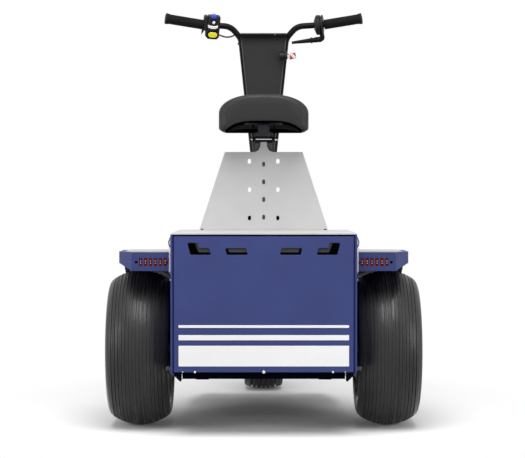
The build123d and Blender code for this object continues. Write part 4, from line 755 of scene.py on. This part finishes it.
def switch_buttons():
    """Blue push button at the top, white dot and white wing switch, yellow oval on the pod."""
    blue = placed(rounded_box((0.0140, 0.0255, 0.006), (0.0320, 0.0400, 0.0212), 0.0045, 5), on_switch())
    piece("blue_button", "steering", BUTTON_BLUE, [blue])
    t = np.linspace(-1, 1, 15)
    lower = np.column_stack([0.0165 * t, -0.0060 + 0.0048 * t ** 2])
    upper = np.column_stack([0.0165 * t, 0.0040 + 0.0036 * t ** 2])[::-1]
    dot = screw_head(0.0056, 0.0026, on_switch(*DOT_PLACE, 0.0176))
    wing = plate(np.concatenate([lower, upper]), 0, 0.0040, 0.0014, on_switch(0.0240, -0.0035, 0.0178))
    piece("white_buttons", "steering", BUTTON_WHITE, [dot, wing])
    oval = rounded_outline(0.0300, 0.0175, 0.0085, 8)
    yellow = plate(oval, 0, 0.0034, 0.0014, on_switch(*OVAL_PLACE, 0.0172))
    piece("yellow_button", "steering", YELLOW, [yellow])


# Hand lever and its housing on the right bar

LEVER_DEPTH = -0.020


def lever_housing():
    """Drum with a conical inner side, a groove and a round flange outside."""
    profile = np.array([(0.2, 10.2), (0.2, 16), (1.0, 18.5), (5, 28), (7.5, 32), (9.5, 33), (19, 33),
                        (20.6, 32), (21.4, 26), (23.6, 26), (24, 31), (25.0, 32.4), (28.6, 32.4),
                        (30, 31), (31, 27), (31, 10.2)]) / 1000
    piece("lever_drum", "steering", CONTROL, [lathe(profile, on_bar(0.168), 48)], angle=30,
          replaces=["lever_housing"])


def hand_lever():
    """Lever along a bent path: a short arm down to the elbow, then a tapered bar with two collars."""
    arm = np.array([(0.1925, 1.1010), (0.1938, 1.0930), (0.1955, 1.0860), (0.1950, 1.0820), (0.1915, 1.0800)])
    elbow, tip = arm[-1], np.array([0.0935, 1.0682])
    t = np.linspace(0, 1, 42)[1:]
    bar = elbow + (tip - elbow) * t[:, None]
    along = t * 0.1
    radius = 0.0096 - 0.0052 * t
    for collar in (0.017, 0.033):
        radius = np.where(np.abs(along - collar) < 0.0022, 0.0102, radius)
    sizes = np.concatenate([np.full(len(arm), 0.0076), radius])
    path = [STEERING @ Vector((x, LEVER_DEPTH, z)) for x, z in np.concatenate([arm, bar])]
    piece("tapered_lever", "steering", BLACK, [tube(path, sizes, 20)], replaces=["hand_lever"])


# Key, console and column

def key_parts():
    """Lock barrel with a step, bright ferrule, and the tag with a pale band that is a painted highlight."""
    low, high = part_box("key_switch")
    place = sideways(low.x, (low.y + high.y) / 2, (low.z + high.z) / 2)
    barrel = np.array([(0, 0), (0, 12.5), (1.5, 14.2), (15, 15), (16, 13.4), (17.5, 13.4), (18.5, 15.4),
                       (24.5, 15.4), (26, 13.5), (26, 0)]) / 1000
    piece("lock_barrel", "steering", CONTROL, [lathe(barrel, place, 40)], angle=30, replaces=["key_switch"])
    step, tip = barrel[-1, 0], high.x - low.x
    ferrule = [(step + 0.0002, 0), (step + 0.0002, 0.0088), (step + 0.0020, 0.0094),
               (step + 0.8 * (tip - step), 0.0072), (tip, 0.0050), (tip, 0)]
    piece("key_ferrule", "steering", CHROME, [lathe(ferrule, place, 32)])
    low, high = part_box("key_tag")
    middle = (low + high) / 2 + Vector((-0.003, 0, 0))
    lean = Matrix.Translation(middle) @ Matrix.Rotation(RAKE + pi / 2, 4, "X")
    tag = [(-0.0107, -0.0120), (0.0117, -0.0067), (0.0080, 0.0117), (-0.0084, 0.0117)]
    piece("tag_plate", "steering", TAG, [plate(tag, -0.001, 0.001, 0.0004, lean)], replaces=["key_tag"])
    # Pale band on the red tag: painted highlight.
    highlight_band = [(-0.0080, 0.0110), (-0.0090, 0.0050), (0.0030, -0.0080), (0.0105, -0.0062),
            (0.0100, -0.0020), (-0.0015, 0.0110)]
    piece("tag_highlight", "steering", BUTTON_WHITE, [plate(highlight_band, 0.001, 0.0014, 0.0001, lean)])


def column_trim():
    """Tie ring on the left tube and a small orange lamp on the console."""
    place = STEERING @ Matrix.Translation((-0.0735, 0, 1.062)) @ Matrix.Rotation(radians(-5.7), 4, "Y")
    tie = [(-0.0030, 0.0101), (-0.0030, 0.0122), (-0.0015, 0.0130), (0.0015, 0.0130), (0.0030, 0.0122),
           (0.0030, 0.0101)]
    piece("tie_ring", "steering", CONTROL, [lathe(tie, place, 32)])
    spot = STEERING @ facing(0.0376, -0.0264, 1.0965)
    piece("console_lamp", "steering", AMBER, [screw_head(0.0017, 0.0010, spot)])


# Lamps and fender trim

LAMP_PITCH = 0.01405
LAMP_FIRST = 0.2803
LAMP_HOLE = 0.3633


def lamp_diodes():
    """In each lamp slot a dark plate in the middle as painted shade, with two diode domes over each other
    whose pale colour is a painted highlight.
    """
    face = FENDER_REAR + 0.0016
    places = [LAMP_FIRST + i * LAMP_PITCH for i in range(6)]
    domes = [screw_head(0.0024, 0.0013, facing(x, face, LENS_CENTRE + rise))
             for x in places for rise in (0.0030, -0.0032)]
    piece("lamp_diodes", "chassis", PALE_HIGHLIGHT, both_sides(domes))
    # Dark plate in each slot: painted shade.
    shade = rounded_outline(0.0062, 0.0140, 0.0020)
    shades = [plate(shade, 0, 0.0006, 0.0002, facing(x, face, LENS_CENTRE - 0.0004)) for x in places]
    piece("lamp_slot_shadows", "chassis", SHADE_BLACK, both_sides(shades))


def fender_trim():
    """Knob under each fender's cut corner, a black disc as painted shade in the notch at its inner edge, dark
    gusset below with a pale edge, a black disc as painted shade in the hole beside the lamps, and the white
    end of the upstand."""
    knob = np.array([(-6, 0), (-6, 2.6), (-4.5, 3.5), (0, 3.5), (3, 2.4), (12, 2.4), (12, 0)]) / 1000
    gusset = [(0.2605, 0.4492), (0.2885, 0.4622), (0.2605, 0.4622)]
    slash = [(0.2620, 0.4512), (0.2634, 0.4508), (0.2698, 0.4596), (0.2676, 0.4606)]
    inside = facing(0, FENDER_REAR + 0.0040, 0)
    parts = [lathe(knob, Matrix.Translation((0.3896, FENDER_REAR + 0.030, 0.4690)), 24),
             # Black disc at the notch: painted shade.
             screw_head(0.0026, 0.0006, facing(0.2738, FENDER_REAR, 0.4882)),
             plate(gusset, 0, 0.0010, 0.0003, inside)]
    piece("fender_trim", "chassis", BLACK, both_sides(parts))
    # Black disc in the hole: painted shade.
    hole_shade = screw_head(0.0050, 0.0004, facing(LAMP_HOLE, FENDER_REAR + 0.0015, LENS_CENTRE))
    piece("fender_hole_shades", "chassis", SHADE_BLACK, both_sides([hole_shade]))
    strip = film(rounded_outline(0.0082, 0.0925, 0.0006), facing(0.2665, FENDER_REAR + 0.0036, 0.5075))
    piece("upstand_ends", "chassis", WHITE, both_sides([strip]))
    piece("gusset_slash", "chassis", CREAM, both_sides([plate(slash, 0.0010, 0.0014, 0.0001, inside)]))


# Box and tower trim

# Rear face of the panel, how far in front of it the corner plates lie, and their thickness
PANEL_REAR = PANEL_LOW.y
CORNER_SETBACK = 0.0012
CORNER_SHEET = 0.0015


def box_gap_shade_and_seals():
    """Black strip as painted shade in the gap under the lid, and a dark seal at each side of the rear panel,
    partly painted shade of the seam.
    """
    low, high = PANEL_LOW.z, PANEL_HIGH.z
    half = PANEL_HIGH.x
    # Black strip behind the gap: painted shade in the gap.
    gap_shade = rounded_box((-half - 0.004, PANEL_REAR - 0.0004, high - 0.0013),
                       (half + 0.004, PANEL_REAR + 0.006, high + 0.0029), 0.0005, 3)
    piece("lid_gap_shade", "chassis", SHADE_BLACK, [gap_shade])
    # Dark strip at each side of the rear panel: a seal that also stands in for shade in the seam.
    strip = film(rounded_outline(0.0046, high - low, 0.0004),
                 facing(half + 0.0021, PANEL_REAR, (low + high) / 2))
    piece("panel_seals_and_seam_shade", "chassis", SEAM, both_sides([strip]))


def box_corners():
    """Bolt ends and dark pointed brackets at the box's lower corners, their near-black a painted shade, a
    pale strip beside each as painted light of the bright background seen through a gap, small ears at the
    upper ones, and grey rails behind the slots under the lid."""
    boss = np.array([(0, 0), (0, 5.5), (9, 5.5), (10, 6.4), (15, 6.4), (16.5, 5.0), (16.5, 0)]) / 1000
    bolt = lathe(boss, sideways(0.2602, PANEL_REAR + 0.060, 0.1895), 24)
    piece("corner_bolts", "chassis", CASTING, both_sides([bolt]))
    upright = facing(0, PANEL_REAR + CORNER_SETBACK, 0)
    face = facing(0, PANEL_REAR + CORNER_SETBACK - CORNER_SHEET, 0)
    ear = [(0.2602, 0.5330), (0.2652, 0.5400), (0.2665, 0.5500), (0.2602, 0.5660)]
    inner = [(0.2604, 0.5385), (0.2634, 0.5430), (0.2641, 0.5490), (0.2604, 0.5590)]
    ears = both_sides([plate(ear, 0, CORNER_SHEET, 0.0004, upright)])
    piece("corner_ears", "chassis", SEAM, ears)
    piece("ear_faces", "chassis", CREAM, both_sides([film(inner, face, 1)]))
    bracket = [(0.2290, 0.1855), (0.2290, 0.1640), (0.2312, 0.1598), (0.2330, 0.1598), (0.2510, 0.1775),
               (0.2510, 0.1855)]
    brackets = both_sides([plate(bracket, -0.0021, CORNER_SHEET, 0.0004, upright)])
    piece("pointed_brackets", "chassis", NAVY_AND_SHADE, brackets)
    # Pale strip beside each bracket: painted light, the bright background seen through the gap.
    slash = [(0.2272, 0.1820), (0.2258, 0.1700), (0.2270, 0.1690), (0.2296, 0.1815)]
    piece("bracket_gap_light", "chassis", CREAM, both_sides([film(slash, face, 1)]))
    shapes = ([(0.148, 0.5205), (0.181, 0.5205), (0.196, 0.5550), (0.176, 0.5550), (0.168, 0.5390),
               (0.148, 0.5390)],
              [(0.045, 0.5205), (0.096, 0.5205), (0.104, 0.5390), (0.045, 0.5390)])
    rails = [plate(shape, -0.0026, -0.0020, 0.0002, upright) for shape in shapes]
    piece("inner_rails", "chassis", RAIL, both_sides(rails))


def tower_trim():
    """Dark tab at each foot of the seat tower, and a black plate deep in each of its lowest slots as painted
    shade.
    """
    foot = facing(0.1885, TOWER_REAR, 0.5750)
    tab = plate(rounded_outline(0.0070, 0.0034, 0.0008), 0, 0.0008, 0.0002, foot)
    piece("tower_tabs", "chassis", BLACK, both_sides([tab]))
    slot = facing(0.0435, TOWER_REAR, 0.6099)
    # Black plate in the slot: painted shade.
    slot_shade = plate(rounded_outline(0.0100, 0.0145, 0.0049, 8), -0.0028, -0.0012, 0.0003, slot)
    piece("slot_shades", "chassis", SHADE_BLACK, both_sides([slot_shade]))


# Running gear and footboard

# Rims: how far the disc lies outside the tyre's middle, and how far studs and valve lie from the axle
RIM_DISC = 0.037
STUD_CIRCLE = 0.0629
VALVE_CIRCLE = 0.083

# Mat: spacing, half-width and height of its ribs, half the width of the gap for the neck, and where
# and how steeply the footboard's corners are cut
RIB_PITCH = 0.0125
RIB_HALF = 0.0035
RIB_HEIGHT = 0.0014
NECK_HALF = 0.034
TAPER_START = 0.192
TAPER_SLOPE = 3.9


def wheel_nuts():
    """Hexagonal nuts with a round top on the four studs of each rear rim, and its valve."""
    nut = np.array([(0, 0), (0, 9), (6, 9), (8, 7), (8, 4.5), (12, 4.5), (12, 0)]) / 1000
    valve = np.array([(0, 0), (0, 4), (12, 4), (13, 3), (26, 3), (27, 2), (27, 0)]) / 1000
    low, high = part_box("rear_rim_right")
    centre = Matrix.Translation((REAR_CENTRE + RIM_DISC, (low.y + high.y) / 2, (low.z + high.z) / 2))
    parts = [lathe(nut, centre @ Matrix.Rotation(k * pi / 2, 4, "X") @ sideways(0, 0, STUD_CIRCLE), 6)
             for k in range(4)]
    parts.append(lathe(valve, centre @ Matrix.Rotation(pi / 4, 4, "X") @ sideways(0, 0, VALVE_CIRCLE), 20))
    piece("wheel_nuts_right", "rear_wheel_right", ZINC, parts, angle=30)
    parts = [mirrored(part) for part in parts]
    piece("wheel_nuts_left", "rear_wheel_left", ZINC, parts, angle=30)


def mat_ribs():
    """Raised ribs along the rubber mat, half an ellipse over their width, smaller at both ends and cut
    off where the footboard narrows and round the neck."""
    parts = []
    t = np.linspace(0, pi, 7)
    for x in np.arange(-18, 19) * RIB_PITCH:
        end = MAT_HIGH.y - 0.006 - max(0.0, abs(x) - TAPER_START) * TAPER_SLOPE
        if abs(x) < NECK_HALF:
            end = min(end, MAT_HIGH.y - 0.042)
        stops = ((MAT_LOW.y + 0.006, 0.4), (MAT_LOW.y + 0.009, 1), (end - 0.003, 1), (end, 0.4))
        rows = [np.column_stack([x + RIB_HALF * size * np.cos(t), np.full(len(t), y),
                                 MAT_HIGH.z + RIB_HEIGHT * size * np.sin(t)]) for y, size in stops]
        parts.append(surface(np.stack(rows), close_columns=False))
    piece("mat_ribs", "chassis", MAT, parts)


# Cable from the switch housing to the left column tube

CABLE_POINTS = ((-0.1476, -0.011, 1.093), (-0.137, -0.012, 1.0885), (-0.127, -0.0125, 1.086),
                (-0.117, -0.012, 1.0855), (-0.107, -0.010, 1.087), (-0.0985, -0.006, 1.090))
CABLE_DIAMETER = 0.0054


def switch_lead():
    """Thin lead as a smooth curve through the leaning frame's control points."""
    points = [STEERING @ Vector(p) for p in CABLE_POINTS]
    data = bpy.data.curves.new("switch_lead", "CURVE")
    data.dimensions = "3D"
    data.bevel_depth = CABLE_DIAMETER / 2
    data.bevel_resolution = 5
    data.resolution_u = 12
    data.use_fill_caps = True
    spline = data.splines.new("NURBS")
    spline.points.add(len(points) - 1)
    for slot, point in zip(spline.points, points):
        slot.co = (*point, 1.0)
    spline.order_u = 3
    spline.use_endpoint_u = True
    data.materials.append(CABLE)
    lead = bpy.data.objects.new("switch_lead", data)
    bpy.context.scene.collection.objects.link(lead)
    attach(lead, "steering")
    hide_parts("switch_cable")


# Camera, lights and floor

# Brightness of the surroundings as a light, then the floor: how far it reaches, where lit paint ends
# and plain white begins, how much narrower that oval is across, and the plain white's least share
WORLD_LEVEL = 0.46
FLOOR_REACH = 30.0
FLOOR_LIT = 0.68
FLOOR_PLAIN = 1.25
FLOOR_STRETCH = (1.3, 1.0, 1.0)
FLOOR_GLOW = 0.03
FULL_WHITE = (1, 1, 1, 1)
DULL_GREY = (0.3, 0.3, 0.3, 1)


def camera():
    """Camera straight behind the machine, tipped down a little."""
    data = bpy.data.cameras.new("camera")
    data.lens = CAMERA_LENS
    data.sensor_width = 36.0
    made = bpy.data.objects.new("camera", data)
    made.location = CAMERA_PLACE
    made.rotation_euler = (CAMERA_PITCH, 0, 0)
    bpy.context.scene.collection.objects.link(made)
    bpy.context.scene.camera = made


def lamp(name, place, size, watts, aim=(0, -0.2, 0.5)):
    """Soft rectangular lamp that looks at a point."""
    data = bpy.data.lights.new(name, "AREA")
    data.shape = "RECTANGLE"
    data.size, data.size_y = size
    data.energy = watts
    made = bpy.data.objects.new(name, data)
    made.location = place
    made.rotation_euler = (Vector(aim) - Vector(place)).to_track_quat("-Z", "Y").to_euler()
    bpy.context.scene.collection.objects.link(made)


def plain_view(tree):
    """1 where the camera, a mirror or clear plastic looks straight at the surface, else 0."""
    path = tree.nodes.new("ShaderNodeLightPath")
    seen = path.outputs["Is Camera Ray"]
    for output in ("Is Glossy Ray", "Is Transmission Ray"):
        larger = tree.nodes.new("ShaderNodeMath")
        larger.operation = "MAXIMUM"
        tree.links.new(seen, larger.inputs[0])
        tree.links.new(path.outputs[output], larger.inputs[1])
        seen = larger.outputs["Value"]
    return seen


def world():
    """White surroundings: full white in plain view, dimmer where they only give light."""
    made = bpy.data.worlds.new("studio")
    bpy.context.scene.world = made
    made.use_nodes = True
    tree = made.node_tree
    level = tree.nodes.new("ShaderNodeMapRange")
    level.inputs["To Min"].default_value = WORLD_LEVEL
    level.inputs["To Max"].default_value = 1.0
    tree.links.new(plain_view(tree), level.inputs["Value"])
    tree.links.new(level.outputs["Result"], tree.nodes["Background"].inputs["Strength"])
    tree.nodes["Background"].inputs["Color"].default_value = FULL_WHITE


def floor():
    """White floor: in plain view it is lit paint near the machine and plain white further out, with a
    soft change between the two, and to all other rays it is dull grey."""
    corners = np.array([[(-1, -1, 0), (1, -1, 0)], [(-1, 1, 0), (1, 1, 0)]]) * FLOOR_REACH
    points, faces = surface(corners, close_columns=False)
    mesh = bpy.data.meshes.new("floor")
    mesh.from_pydata(points.tolist(), [], faces.tolist())
    made = bpy.data.objects.new("floor", mesh)
    bpy.context.scene.collection.objects.link(made)
    material = bpy.data.materials.new("floor_white")
    material.use_nodes = True
    tree = material.node_tree
    tree.nodes.clear()
    new, link = tree.nodes.new, tree.links.new
    output = new("ShaderNodeOutputMaterial")
    lit = new("ShaderNodeBsdfDiffuse")
    lit.inputs["Color"].default_value = FULL_WHITE
    glow = new("ShaderNodeEmission")
    dull = new("ShaderNodeBsdfDiffuse")
    dull.inputs["Color"].default_value = DULL_GREY
    place = new("ShaderNodeTexCoord")
    length = new("ShaderNodeVectorMath")
    length.operation = "LENGTH"
    wide = new("ShaderNodeMapping")
    wide.inputs["Scale"].default_value = FLOOR_STRETCH
    link(place.outputs["Object"], wide.inputs["Vector"])
    link(wide.outputs["Vector"], length.inputs[0])
    far = new("ShaderNodeMapRange")
    far.inputs["From Min"].default_value = FLOOR_LIT
    far.inputs["From Max"].default_value = FLOOR_PLAIN
    far.inputs["To Min"].default_value = FLOOR_GLOW
    far.inputs["To Max"].default_value = 1.0
    far.interpolation_type = "SMOOTHSTEP"
    link(length.outputs["Value"], far.inputs["Value"])
    near = new("ShaderNodeMixShader")
    link(far.outputs["Result"], near.inputs["Fac"])
    link(lit.outputs["BSDF"], near.inputs[1])
    link(glow.outputs["Emission"], near.inputs[2])
    seen = new("ShaderNodeMixShader")
    link(plain_view(tree), seen.inputs["Fac"])
    link(dull.outputs["BSDF"], seen.inputs[1])
    link(near.outputs["Shader"], seen.inputs[2])
    link(seen.outputs["Shader"], output.inputs["Surface"])
    made.data.materials.append(material)


def studio():
    """Camera, three soft lamps, surroundings and floor, with colours shown as they are."""
    camera()
    lamp("top", place=(0, -1.9, 3.3), size=(2.4, 2.2), watts=96, aim=(0, -0.2, 0.2))
    lamp("left", place=(-3.1, -2.1, 1.3), size=(1.0, 1.8), watts=33)
    lamp("right", place=(3.1, -2.1, 1.3), size=(1.0, 1.8), watts=30)
    world()
    floor()
    bpy.context.scene.view_settings.view_transform = "Standard"


studio()
switch_lead()
finish_solids()
tyres()
stripes()
panel_screws()
box_gap_shade_and_seals()
box_corners()
tower_trim()
seat_cushion()
seat_shell_and_shade()
seat_pivot()
grips()
switch_housing()
switch_buttons()
lever_housing()
hand_lever()
key_parts()
column_trim()
lamp_diodes()
fender_trim()
wheel_nuts()
mat_ribs()
